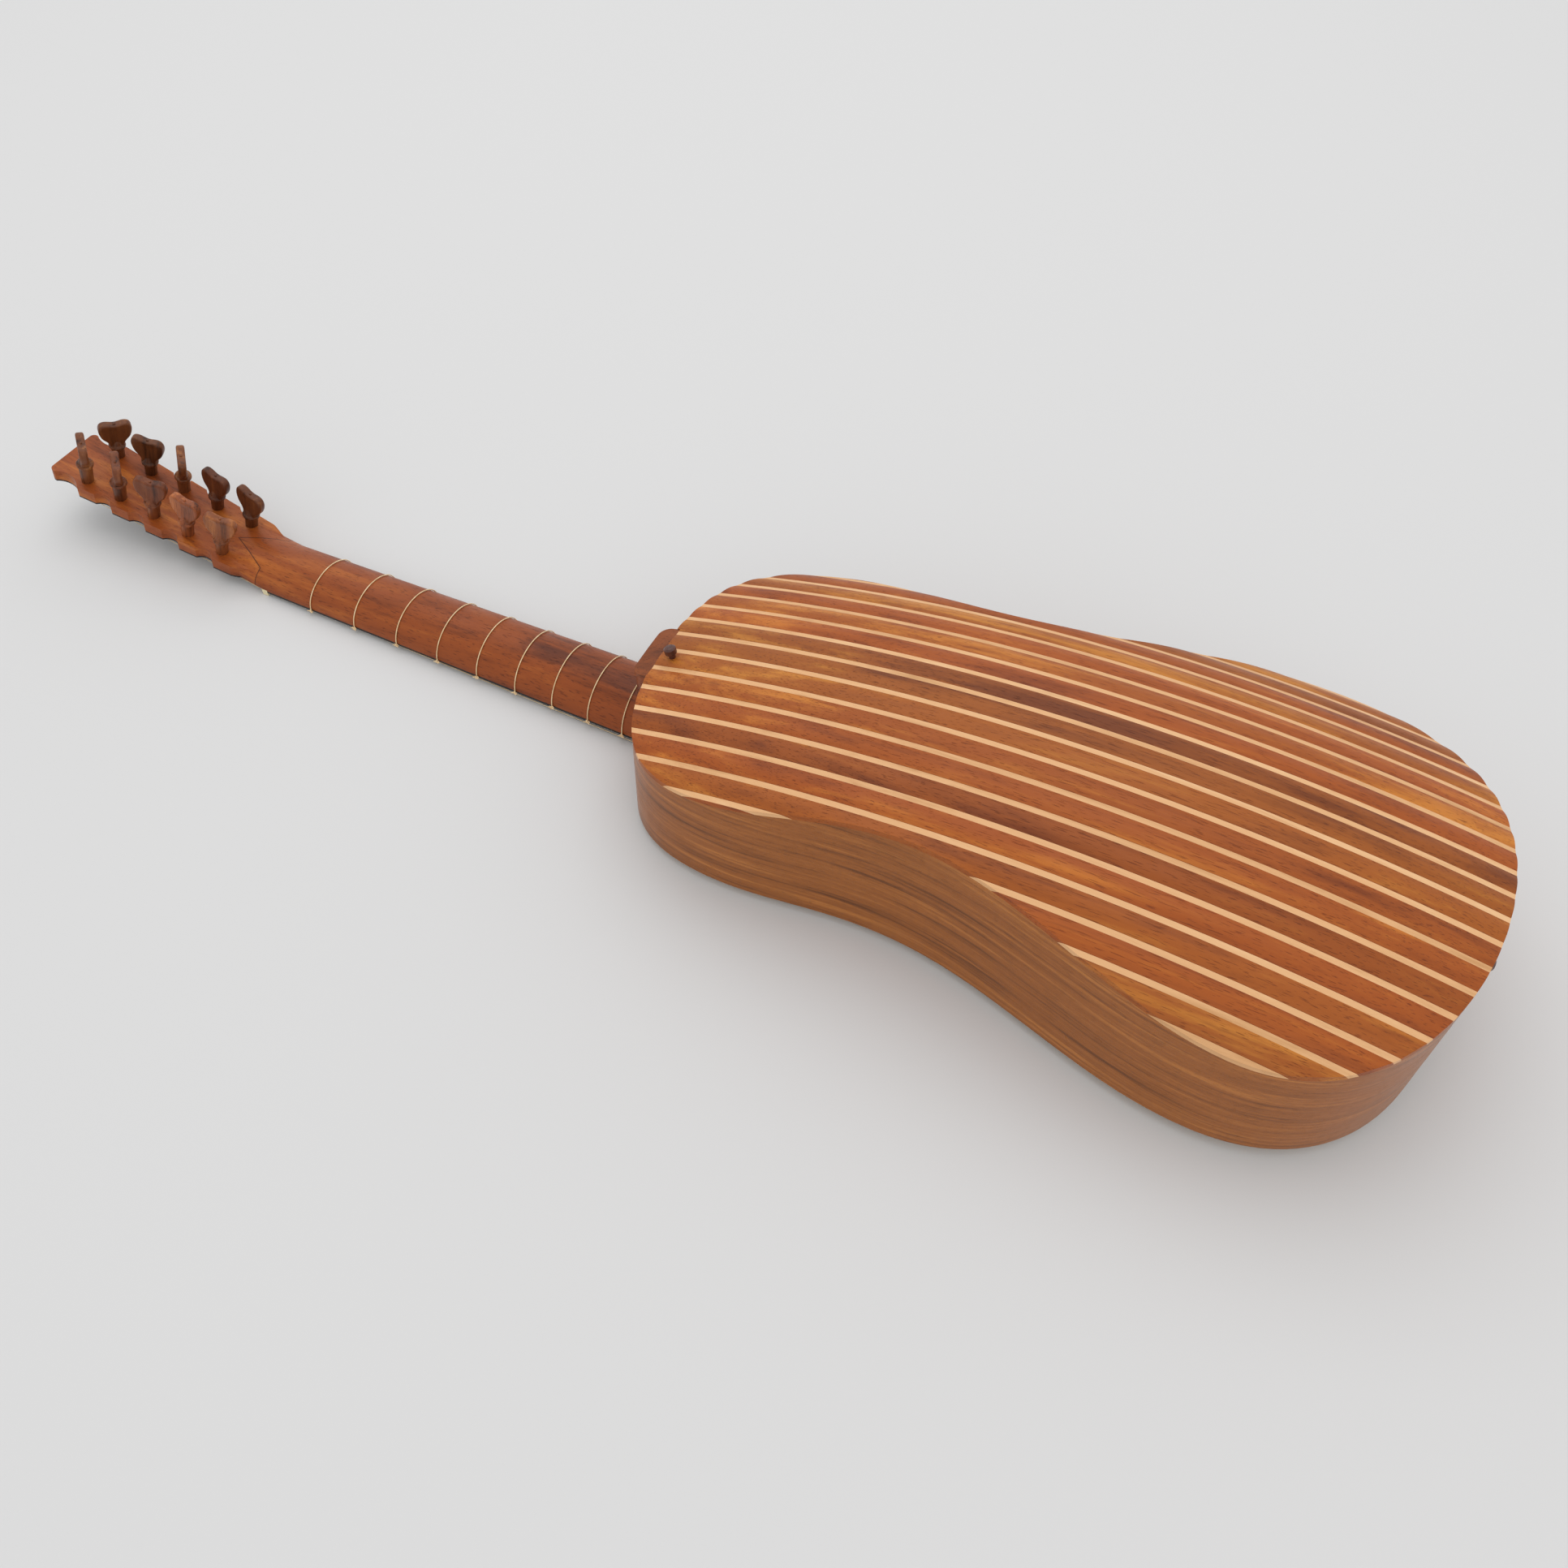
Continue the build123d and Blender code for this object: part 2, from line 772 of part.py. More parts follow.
def make_peg(seat, turn, shaft):
    facing = math.radians(turn)
    width_way = seat.x_dir * math.cos(facing) + seat.y_dir * math.sin(facing)
    plane = Plane(origin=seat.origin, x_dir=width_way, z_dir=width_way.cross(seat.z_dir))
    collar_foot = head_thickness + shaft
    collar_top = collar_foot + peg_collar_height
    collar_edge = peg_collar_radius - peg_collar_round
    top = collar_top + peg_thumb_height
    flange_radius = spindle_radius + spindle_flange
    foot = (peg_thumb_foot_half_width, collar_top)
    lobe = (peg_thumb_half_width * 0.88, top - peg_lobe_height)
    crest = (peg_thumb_half_width * 0.62, top)
    notch = top - peg_thumb_notch
    with BuildPart() as peg:
        # the tip, the spindle for the string, the tapered shaft and the turned collar
        with BuildSketch(plane):
            with BuildLine():
                Polyline(
                    (0, -peg_tip),
                    (spindle_radius, -peg_tip),
                    (flange_radius, spindle_flange - peg_tip),
                    (flange_radius, -spindle_foot - spindle_flange),
                    (spindle_radius, -spindle_foot),
                    (spindle_radius, -spindle_top),
                    (peg_radius(-spindle_top), -spindle_top),
                    (peg_radius(collar_foot), collar_foot),
                    (collar_edge, collar_foot),
                )
                ThreePointArc(
                    (collar_edge, collar_foot),
                    (peg_collar_radius, (collar_foot + collar_top) / 2),
                    (collar_edge, collar_top),
                )
                Polyline(
                    (collar_edge, collar_top),
                    (peg_waist_radius, collar_top + peg_collar_round),
                    (peg_waist_radius * 0.8, collar_top + peg_thumb_height / 4),
                    (0, collar_top + peg_thumb_height / 4),
                    (0, -peg_tip),
                )
            make_face()
        revolve(axis=Axis(plane.origin, seat.z_dir))
        # the flat thumb piece spreads from the collar to two round lobes
        with BuildSketch(plane):
            with BuildLine():
                Line((0, collar_top), foot)
                Bezier(
                    foot,
                    (peg_thumb_foot_half_width, collar_top + 0.2 * peg_thumb_height),
                    (peg_thumb_half_width * 0.78, top - 1.3 * peg_lobe_height),
                    lobe,
                )
                Bezier(
                    lobe,
                    (peg_thumb_half_width * 1.08, top - 0.5 * peg_lobe_height),
                    (peg_thumb_half_width * 1.04, top),
                    crest,
                )
                Bezier(
                    crest,
                    (peg_thumb_half_width * 0.40, top),
                    (peg_thumb_half_width * 0.22, notch),
                    (0, notch),
                )
                mirror(about=Plane.YZ)
            make_face()
        extrude(amount=peg_thumb_thickness / 2, both=True)
    return peg.part


for number, (seat, turn, shaft) in enumerate(pegs):
    keep(make_peg(seat, turn, shaft), f"peg_{number + 1:02d}")


# --------------------------------------------------------------- gut frets

for number in range(1, tied_fret_count + 1):
    fret_at = nut_at + string_length * (1 - 2 ** (-number / 12))
    # the loop clears the neck's section at the tail end of its travel
    far_side = fret_at + tied_fret_travel + fret_gut / 2
    half = neck_half_width(far_side)
    depth = neck_depth(far_side)
    outside = fret_clearance + fret_gut
    with BuildPart() as tied_fret:
        with BuildSketch(station(fret_at - fret_gut / 2)):
            add(round_back(half + outside, depth + outside, fingerboard_thickness, foot=-outside))
            add(
                round_back(
                    half + fret_clearance,
                    depth + fret_clearance,
                    fingerboard_thickness,
                    foot=-fret_clearance,
                ),
                mode=Mode.SUBTRACT,
            )
        extrude(amount=fret_gut)
    keep(tied_fret.part, f"tied_fret_{number}")


# ------------------------------------------------------- bridge, nut and strings

def string_ends(side, order):
    # the string's end on the bridge, its break over the nut and its end at the peg
    spread_at_nut = side * string_spread_at_nut[order]
    spread_at_bridge = side * string_spread_at_bridge[order]
    seat, turn, shaft = pegs[string_pegs[order] + (0 if side > 0 else peg_count_per_row)]
    shift = side * string_peg_sides[order] * (spindle_radius + string_to_spindle)
    tail = at(bridge_at + bridge_width / 2 + string_knot_radius, spread_at_bridge, -string_drop_at_bridge)
    break_point = at(nut_back, spread_at_nut, -string_drop_at_nut)
    peg_end = seat.from_local_coords((0, -shift, -string_depth_at_peg))
    return (tail, break_point, peg_end)


all_strings = []
for side, radii in [(1, bass_string_radii), (-1, treble_string_radii)]:
    for order in range(5):
        all_strings.append((string_ends(side, order), radii[order]))

with BuildPart() as strings:
    for (tail, break_point, peg_end), radius in all_strings:
        for start, stop in [(tail, break_point), (break_point, peg_end)]:
            with BuildSketch(Plane(origin=start, z_dir=stop - start)):
                Circle(radius)
            extrude(amount=(stop - start).length)
        with Locations(break_point):
            Sphere(radius)
        with Locations(tail):
            Sphere(string_knot_radius)
keep(strings.part, "strings")

with BuildPart() as bridge:
    with BuildSketch(board):
        with Locations((bridge_at, 0)):
            RectangleRounded(bridge_width, bridge_length, bridge_corner_radius)
    extrude(amount=-bridge_height)
    for (tail, break_point, peg_end), radius in all_strings:
        with BuildSketch(Plane(origin=tail, z_dir=break_point - tail)):
            Circle(radius + string_hole_clearance)
        extrude(amount=bridge_width * 2, both=True, mode=Mode.SUBTRACT)
keep(bridge.part, "bridge")

# A flat scroll is glued on at each end of the bridge and curls towards the soundhole
with BuildPart() as bridge_moustaches:
    for side in [1, -1]:
        root = side * bridge_length / 2
        front = (bridge_at - moustache_root_half_width, root)
        back = (bridge_at + moustache_root_half_width, root)
        tip = (bridge_at - moustache_reach, root + side * moustache_length)
        with BuildSketch(board):
            with BuildLine():
                Bezier(
                    front,
                    (bridge_at - 0.45 * moustache_reach, root + side * 0.52 * moustache_length),
                    (bridge_at - 1.1 * moustache_reach, root + side * 0.44 * moustache_length),
                    tip,
                )
                Bezier(
                    tip,
                    (bridge_at - 0.4 * moustache_reach, root + side * 0.74 * moustache_length),
                    (bridge_at + 0.3 * moustache_reach, root + side * 0.89 * moustache_length),
                    back,
                )
                Line(back, front)
            make_face()
        extrude(amount=-moustache_thickness)
keep(bridge_moustaches.part, "bridge_moustaches")

with BuildPart() as nut:
    with BuildSketch(board.offset(nut_seat)):
        with Locations((nut_at - nut_thickness / 2, 0)):
            Rectangle(nut_thickness, neck_width_at_nut)
    extrude(amount=-(nut_seat + nut_height))
    for (tail, break_point, peg_end), radius in all_strings:
        across = board.to_local_coords(break_point).Y
        with BuildSketch(station(nut_at + nut_thickness)):
            with Locations((across, -nut_height)):
                slot_depth = nut_height - string_drop_at_nut + radius
                Rectangle(2 * (radius + string_slot_clearance), 2 * slot_depth)
        extrude(amount=-3 * nut_thickness, mode=Mode.SUBTRACT)
keep(nut.part, "nut")


# ----------------------------------------------------------------- strap buttons

for label, plane in [
    ("strap_button_heel", heel_button_plane),
    ("strap_button_tail", tail_button_plane),
]:
    head_start = button_stem_length
    head_stop = button_stem_length + button_head_length
    up = plane.z_dir
    profile = Plane(origin=plane.origin, x_dir=plane.x_dir, z_dir=plane.x_dir.cross(up))
    with BuildPart() as button:
        with BuildSketch(profile):
            with BuildLine():
                Polyline(
                    (0, -button_root_length),
                    (button_stem_radius, -button_root_length),
                    (button_stem_radius, head_start - button_edge),
                    (button_head_radius, head_start),
                    (button_head_radius, head_stop),
                    (button_head_radius - button_edge, head_stop + 0.7 * button_dome),
                    (0, head_stop + button_dome),
                    (0, -button_root_length),
                )
            make_face()
        revolve(axis=Axis(plane.origin, up))
    keep(button.part, label)
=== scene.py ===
import json
import math
import random

import bmesh
import bpy
from mathutils import Euler, Matrix, Vector


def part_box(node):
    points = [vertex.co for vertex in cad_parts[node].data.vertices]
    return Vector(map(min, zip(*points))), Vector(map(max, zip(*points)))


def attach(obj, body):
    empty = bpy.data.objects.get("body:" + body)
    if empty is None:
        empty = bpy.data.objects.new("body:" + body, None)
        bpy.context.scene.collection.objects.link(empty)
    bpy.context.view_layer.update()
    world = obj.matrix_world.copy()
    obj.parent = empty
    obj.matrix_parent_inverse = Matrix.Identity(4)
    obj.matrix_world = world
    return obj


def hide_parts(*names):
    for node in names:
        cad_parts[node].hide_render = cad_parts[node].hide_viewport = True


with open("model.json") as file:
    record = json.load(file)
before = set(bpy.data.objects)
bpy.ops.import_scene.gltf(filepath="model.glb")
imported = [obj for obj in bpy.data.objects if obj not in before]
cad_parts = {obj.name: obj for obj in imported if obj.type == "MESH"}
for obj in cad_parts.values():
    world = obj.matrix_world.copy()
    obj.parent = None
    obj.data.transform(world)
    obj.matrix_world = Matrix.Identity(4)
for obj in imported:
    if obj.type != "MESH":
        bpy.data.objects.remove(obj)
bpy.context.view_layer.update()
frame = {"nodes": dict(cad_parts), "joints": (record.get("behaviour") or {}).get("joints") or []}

nodes = frame["nodes"]
joints = {joint["child"]: joint for joint in frame["joints"]}
mm = 0.001
print("guitar frame loaded:", len(nodes), "pieces")


# ---- small helpers for shader trees

def addNode(tree, kind, **settings):
    node = tree.nodes.new(kind)
    for name, value in settings.items():
        setattr(node, name, value)
    return node


def feed(tree, socket, value):
    # a socket takes either another node's output or a plain value
    if isinstance(value, bpy.types.NodeSocket):
        tree.links.new(value, socket)
    else:
        socket.default_value = value


def calc(tree, operation, *values):
    node = addNode(tree, "ShaderNodeMath", operation=operation)
    for socket, value in zip(node.inputs, values):
        feed(tree, socket, value)
    return node.outputs[0]


def vectorCalc(tree, operation, *values):
    node = addNode(tree, "ShaderNodeVectorMath", operation=operation)
    for socket, value in zip(node.inputs, values):
        feed(tree, socket, value)
    return node.outputs[0]


def mixColors(tree, share, first, second, blend="MIX"):
    node = addNode(tree, "ShaderNodeMix", data_type="RGBA", blend_type=blend)
    feed(tree, node.inputs["Factor"], share)
    feed(tree, node.inputs["A"], first)
    feed(tree, node.inputs["B"], second)
    return node.outputs["Result"]


def rangeOf(tree, value, fromLow, fromHigh, toLow=0.0, toHigh=1.0):
    node = addNode(tree, "ShaderNodeMapRange", interpolation_type="SMOOTHSTEP")
    for label, number in (("Value", value), ("From Min", fromLow), ("From Max", fromHigh),
                          ("To Min", toLow), ("To Max", toHigh)):
        feed(tree, node.inputs[label], number)
    return node.outputs["Result"]


def noiseAt(tree, place, scale, detail=3.0, roughness=0.55):
    node = addNode(tree, "ShaderNodeTexNoise")
    feed(tree, node.inputs["Vector"], place)
    feed(tree, node.inputs["Scale"], scale)
    node.inputs["Detail"].default_value = detail
    node.inputs["Roughness"].default_value = roughness
    return node.outputs["Fac"]


def startGroup(name, inputs, outputs):
    group = bpy.data.node_groups.new(name, "ShaderNodeTree")
    for label, kind, value in inputs:
        socket = group.interface.new_socket(name=label, in_out="INPUT", socket_type="NodeSocket" + kind)
        if value is not None:
            socket.default_value = value
    for label, kind in outputs:
        group.interface.new_socket(name=label, in_out="OUTPUT", socket_type="NodeSocket" + kind)
    return group, group.nodes.new("NodeGroupInput").outputs, group.nodes.new("NodeGroupOutput").inputs


def placeGroup(tree, group, **values):
    # puts a group in a material; a label's spaces are left out of the keyword
    node = addNode(tree, "ShaderNodeGroup", node_tree=group)
    for socket in node.inputs:
        key = socket.name.replace(" ", "")
        if key in values:
            feed(tree, socket, values[key])
    return node.outputs


# ---- effects that several finishes share

grain = {
    "wanderScale": 22.0,
    "bandScale": 0.27,  # the band, ink and pore scales are shares of the streaks' own scale
    "inkScale": 1.7,
    "poreScale": 17.0,
    "streakShare": 0.55,
    "bandShare": 0.45,
    "toneGain": 3.0,
    "inkShare": 0.55,
    "poreShare": 0.8,
}

def makeWoodFigure():
    # streaks, broad bands and open pores that run along the wood's X
    group, given, made = startGroup(
        "wood figure",
        [("Place", "Vector", None), ("Dark", "Color", (0.1, 0.04, 0.02, 1)),
         ("Middle", "Color", (0.3, 0.1, 0.04, 1)), ("Light", "Color", (0.5, 0.2, 0.08, 1)),
         ("Streaks", "Float", 60.0), ("Stretch", "Float", 0.04), ("Wave", "Float", 0.01),
         ("Contrast", "Float", 1.0), ("Pores", "Float", 0.5)],
        [("Color", "Color"), ("Pore Mask", "Float"), ("Tone", "Float")])
    split = addNode(group, "ShaderNodeSeparateXYZ")
    feed(group, split.inputs[0], given["Place"])
    squeezed = addNode(group, "ShaderNodeCombineXYZ")
    feed(group, squeezed.inputs[0], calc(group, "MULTIPLY", split.outputs[0], given["Stretch"]))
    feed(group, squeezed.inputs[1], split.outputs[1])
    feed(group, squeezed.inputs[2], split.outputs[2])
    place = squeezed.outputs[0]

    wander = addNode(group, "ShaderNodeTexNoise")
    feed(group, wander.inputs["Vector"], place)
    wander.inputs["Scale"].default_value = grain["wanderScale"]
    drift = vectorCalc(group, "SUBTRACT", wander.outputs["Color"], (0.5, 0.5, 0.5))
    scale = addNode(group, "ShaderNodeVectorMath", operation="SCALE")
    feed(group, scale.inputs[0], drift)
    feed(group, scale.inputs["Scale"], given["Wave"])
    bent = vectorCalc(group, "ADD", place, scale.outputs[0])

    streak = noiseAt(group, bent, given["Streaks"], 6.0, 0.62)
    band = noiseAt(group, bent, calc(group, "MULTIPLY", given["Streaks"], grain["bandScale"]), 2.0, 0.5)
    fine = calc(group, "MULTIPLY", streak, grain["streakShare"])
    broad = calc(group, "MULTIPLY", band, grain["bandShare"])
    tone = calc(group, "ADD", fine, broad)
    spread = calc(group, "MULTIPLY", calc(group, "SUBTRACT", tone, 0.5), given["Contrast"])
    tone = calc(group, "ADD", calc(group, "MULTIPLY", spread, grain["toneGain"]), 0.5)
    lower = mixColors(group, rangeOf(group, tone, 0.0, 0.5), given["Dark"], given["Middle"])
    color = mixColors(group, rangeOf(group, tone, 0.5, 1.0), lower, given["Light"])

    ink = noiseAt(group, bent, calc(group, "MULTIPLY", given["Streaks"], grain["inkScale"]), 3.0, 0.6)
    inkLines = calc(group, "MULTIPLY", rangeOf(group, ink, 0.58, 0.74), given["Contrast"])
    color = mixColors(group, calc(group, "MULTIPLY", inkLines, grain["inkShare"]), color, given["Dark"])

    poreScale = calc(group, "MULTIPLY", given["Streaks"], grain["poreScale"])
    poreNoise = noiseAt(group, place, poreScale, 1.0, 0.4)
    pores = calc(group, "MULTIPLY", rangeOf(group, poreNoise, 0.60, 0.72), given["Pores"])
    poreInk = calc(group, "MULTIPLY", pores, grain["poreShare"])
    color = mixColors(group, poreInk, color, given["Dark"], "MULTIPLY")
    feed(group, made["Color"], color)
    feed(group, made["Pore Mask"], pores)
    feed(group, made["Tone"], tone)
    return group


def makeHandPolish():
    # oil and wax leave a gloss that is never quite even, and duller in the pores
    group, given, made = startGroup(
        "hand polish",
        [("Place", "Vector", None), ("Glossy", "Float", 0.25), ("Dull", "Float", 0.45),
         ("Pore Mask", "Float", 0.0)],
        [("Roughness", "Float")])
    cloud = noiseAt(group, given["Place"], 28.0, 4.0, 0.6)
    even = addNode(group, "ShaderNodeMapRange")
    for label, value in (("Value", cloud), ("From Min", 0.3), ("From Max", 0.7),
                         ("To Min", given["Glossy"]), ("To Max", given["Dull"])):
        feed(group, even.inputs[label], value)
    worn = calc(group, "ADD", even.outputs[0], calc(group, "MULTIPLY", given["Pore Mask"], 0.2))
    feed(group, made["Roughness"], worn)
    return group


def makeGlueLineAndJointShade():
    # the dark glue line along both long edges of a strip, partly painted shade in the joint where the strip
    # meets its neighbour, at fixed distances from its middle
    group, given, made = startGroup(
        "glue line and painted joint shade",
        [("Place", "Vector", None), ("Middle", "Float", 0.0), ("Half Width", "Float", 0.005),
         ("Line", "Float", 0.0004)],
        [("Mask", "Float"), ("Crown", "Float")])
    split = addNode(group, "ShaderNodeSeparateXYZ")
    feed(group, split.inputs[0], given["Place"])
    away = calc(group, "ABSOLUTE", calc(group, "SUBTRACT", split.outputs[1], given["Middle"]))
    inner = calc(group, "SUBTRACT", given["Half Width"], given["Line"])
    feed(group, made["Mask"], rangeOf(group, away, inner, given["Half Width"]))
    feed(group, made["Crown"], calc(group, "DIVIDE", away, given["Half Width"]))
    return group


def makeVeeLine():
    # the dark glue line where the neck's pointed tongue is let into the head
    group, given, made = startGroup(
        "vee line",
        [("Place", "Vector", None), ("Tip", "Float", 0.04), ("Shoulder", "Float", 0.01),
         ("Half Width", "Float", 0.015), ("Line", "Float", 0.0004)],
        [("Mask", "Float")])
    firstPeg = Vector(joints["peg_01"]["pos_m"])
    toEnd = (Vector(joints["peg_05"]["pos_m"]) - firstPeg).normalized()
    offset = vectorCalc(group, "SUBTRACT", given["Place"], tuple(firstPeg))
    dot = addNode(group, "ShaderNodeVectorMath", operation="DOT_PRODUCT")
    feed(group, dot.inputs[0], offset)
    feed(group, dot.inputs[1], tuple(toEnd))
    along = calc(group, "ADD", dot.outputs["Value"], firstPegStation)
    split = addNode(group, "ShaderNodeSeparateXYZ")
    feed(group, split.inputs[0], given["Place"])
    across = calc(group, "ABSOLUTE", split.outputs[1])
    run = calc(group, "SUBTRACT", given["Tip"], given["Shoulder"])
    length = calc(group, "SQRT", calc(
        group, "ADD", calc(group, "MULTIPLY", run, run),
        calc(group, "MULTIPLY", given["Half Width"], given["Half Width"])))
    lean = calc(group, "MULTIPLY", calc(group, "SUBTRACT", along, given["Tip"]), given["Half Width"])
    spread = calc(group, "MULTIPLY", across, run)
    slantGap = calc(group, "ABSOLUTE", calc(group, "DIVIDE", calc(group, "ADD", lean, spread), length))
    slant = calc(group, "LESS_THAN", across, given["Half Width"])
    slant = calc(group, "MULTIPLY", slant, rangeOf(group, slantGap, given["Line"], 0.0))
    flatGap = calc(group, "ABSOLUTE", calc(group, "SUBTRACT", along, given["Shoulder"]))
    flat = calc(group, "GREATER_THAN", across, given["Half Width"])
    flat = calc(group, "MULTIPLY", flat, rangeOf(group, flatGap, given["Line"], 0.0))
    feed(group, made["Mask"], calc(group, "MAXIMUM", slant, flat))
    return group


woodFigure = makeWoodFigure()
handPolish = makeHandPolish()
glueLineAndJointShade = makeGlueLineAndJointShade()
firstPegStation = 42.5 * mm  # how far the first pair of pegs stands from the nut, along the head
veeLine = makeVeeLine()


def startMaterial(name, place=(0, 0, 0), turn=(0, 0, 0)):
    # a material with its shader and the wood's own coordinates, X along the grain
    material = bpy.data.materials.new(name)
    material.use_nodes = True
    tree = material.node_tree
    shader = tree.nodes["Principled BSDF"]
    coords = addNode(tree, "ShaderNodeTexCoord")
    mapping = addNode(tree, "ShaderNodeMapping")
    mapping.inputs["Location"].default_value = place
    mapping.inputs["Rotation"].default_value = [math.radians(angle) for angle in turn]
    tree.links.new(coords.outputs["Object"], mapping.inputs["Vector"])
    return material, tree, shader, mapping.outputs[0], coords.outputs["Object"]


def addBump(tree, shader, height, depth):
    bump = addNode(tree, "ShaderNodeBump")
    bump.inputs["Strength"].default_value = 1.0
    bump.inputs["Distance"].default_value = depth
    feed(tree, bump.inputs["Height"], height)
    tree.links.new(bump.outputs["Normal"], shader.inputs["Normal"])


def woodMaterial(name, look, glueAndShadeStrip=None):
    shift = random.Random(name)
    start = [shift.uniform(-4, 4) for axis in range(3)]
    material, tree, shader, place, plain = startMaterial(name, start, look.get("turn", (0, 0, 0)))
    figure = placeGroup(
        tree, woodFigure, Place=place, Dark=(*look["dark"], 1), Middle=(*look["middle"], 1),
        Light=(*look["light"], 1), Streaks=look["streaks"], Stretch=look["stretch"],
        Wave=look["wave"], Contrast=look["contrast"], Pores=look["pores"])
    color = figure["Color"]
    # darken the rib's long edges: partly its glue line, partly painted shade in the joint with the spacers
    if glueAndShadeStrip:
        glueAndShade = placeGroup(tree, glueLineAndJointShade, Place=plain, Middle=glueAndShadeStrip[0], HalfWidth=glueAndShadeStrip[1])
        color = mixColors(tree, calc(tree, "MULTIPLY", glueAndShade["Mask"], 0.6), color, (*look["dark"], 1))
    if look.get("veeLine"):
        glue = placeGroup(tree, veeLine, Place=plain, Line=look["veeLine"])
        color = mixColors(tree, calc(tree, "MULTIPLY", glue["Mask"], 0.85), color, (0.02, 0.006, 0.003, 1))
    polish = placeGroup(
        tree, handPolish, Place=place, Glossy=look["glossy"], Dull=look["dull"],
        PoreMask=figure["Pore Mask"])
    feed(tree, shader.inputs["Base Color"], color)
    feed(tree, shader.inputs["Roughness"], polish["Roughness"])
    height = calc(tree, "SUBTRACT", calc(tree, "MULTIPLY", figure["Tone"], 0.3), figure["Pore Mask"])
    addBump(tree, shader, height, look["bump"])
    shader.inputs["Coat Weight"].default_value = look["coat"]
    shader.inputs["Coat Roughness"].default_value = look["coatRoughness"]
    shader.inputs["Specular IOR Level"].default_value = look["specular"]
    return material


def dress(names, material):
    for name in names:
        slots = nodes[name].data.materials
        if len(slots) == 0:
            slots.append(material)
        for index in range(len(slots)):
            slots[index] = material


# ---- the striped back

backRibs = {
    "dark": (0.190, 0.040, 0.006),
    "middle": (0.345, 0.084, 0.011),
    "light": (0.560, 0.190, 0.026),
    "streaks": 120.0,
    "stretch": 0.06,
    "wave": 0.02,
    "contrast": 0.95,
    "pores": 0.6,
    "glossy": 0.34,
    "dull": 0.50,
    "bump": 0.00012,
    "coat": 0.03,
    "coatRoughness": 0.30,
    "specular": 0.24,
    "toneSpread": 0.10,  # how much one rib's wood differs from the next
}

spacerStrips = {
    "dark": (0.560, 0.285, 0.115),
    "middle": (0.760, 0.430, 0.205),
    "light": (0.860, 0.540, 0.290),
    "streaks": 160.0,
    "stretch": 0.03,
    "wave": 0.006,
    "contrast": 0.8,
    "pores": 0.15,
    "glossy": 0.34,
    "dull": 0.50,
    "bump": 0.00005,
    "coat": 0.03,
    "coatRoughness": 0.30,
    "specular": 0.24,
}


def tinted(look, amount, warmth):
    changed = dict(look)
    for key in ("dark", "middle", "light"):
        red, green, blue = look[key]
        changed[key] = (red * amount, green * amount * warmth, blue * amount * warmth)
    return changed


def finishBack():
    tone = random.Random(17)
    ribNames = sorted(name for name in nodes if name.startswith("back_rib_"))
    middleRib = ribNames[len(ribNames) // 2]
    low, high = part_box(middleRib)
    halfWidth = (high.y - low.y) / 2
    for name in ribNames:
        low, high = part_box(name)
        spread = backRibs["toneSpread"]
        look = tinted(backRibs, 1 + tone.uniform(-spread, spread), 1 + tone.uniform(-0.1, 0.12))
        middle = (low.y + high.y) / 2
        half = (high.y - low.y) / 2
        whole = half > 0.75 * halfWidth
        # whole ribs get dark edges, partly glue lines and partly painted shade in the joints
        material = woodMaterial(name + " wood", look, (middle, half) if whole else None)
        dress([name], material)
    dress(["back_spacers"], woodMaterial("pale spacer wood", spacerStrips))
    print("back covered with", len(ribNames), "ribs")


finishBack()


# ---- sides, neck, head and the other plain woods

sideWood = dict(
    backRibs,
    dark=(0.150, 0.046, 0.009),
    middle=(0.330, 0.106, 0.020),
    light=(0.480, 0.175, 0.036),
    streaks=480.0,
    stretch=0.03,
    wave=0.0025,
    contrast=1.1,
    pores=0.4,
    glossy=0.26,
    dull=0.38,
    coat=0.10,
)

neckWood = dict(
    backRibs,
    dark=(0.110, 0.021, 0.004),
    middle=(0.285, 0.062, 0.010),
    light=(0.440, 0.122, 0.020),
    streaks=95.0,
    stretch=0.12,
    wave=0.04,
    contrast=1.0,
    coat=0.06,
)

headWood = dict(
    neckWood,
    middle=(0.310, 0.068, 0.011),
    light=(0.500, 0.150, 0.024),
    streaks=110.0,
    contrast=1.1,
    turn=(0, -10, 0),
)
capWood = dict(neckWood, dark=(0.12, 0.028, 0.006), middle=(0.25, 0.060, 0.011), light=(0.36, 0.10, 0.019))
blockWood = dict(spacerStrips, streaks=90.0, coat=0.0, glossy=0.6, dull=0.75)
spruceWood = dict(
    spacerStrips,
    dark=(0.55, 0.31, 0.12),
    middle=(0.72, 0.47, 0.21),
    light=(0.82, 0.58, 0.29),
    streaks=420.0,
    stretch=0.004,
    wave=0.0006,
    contrast=0.7,
)
ebonyWood = dict(
    backRibs,
    dark=(0.004, 0.003, 0.003),
    middle=(0.012, 0.009, 0.008),
    light=(0.030, 0.020, 0.015),
    streaks=160.0,
    pores=0.2,
    glossy=0.24,
    dull=0.36,
    bump=0.00004,
)
buttonWood = dict(
    backRibs,
    dark=(0.030, 0.008, 0.006),
    middle=(0.085, 0.024, 0.015),
    light=(0.15, 0.045, 0.026),
    streaks=300.0,
    turn=(0, 90, 0),
    glossy=0.18,
    dull=0.30,
    coat=0.5,
)


def sideMaterial(name, look):
    # the bent sides' grain stays level all the way round, so it is stretched both ways
    material = woodMaterial(name, look)
    tree = material.node_tree
    mapping = [node for node in tree.nodes if node.bl_idname == "ShaderNodeMapping"][0]
    mapping.inputs["Scale"].default_value = (1.0, look["stretch"], 1.0)
    return material


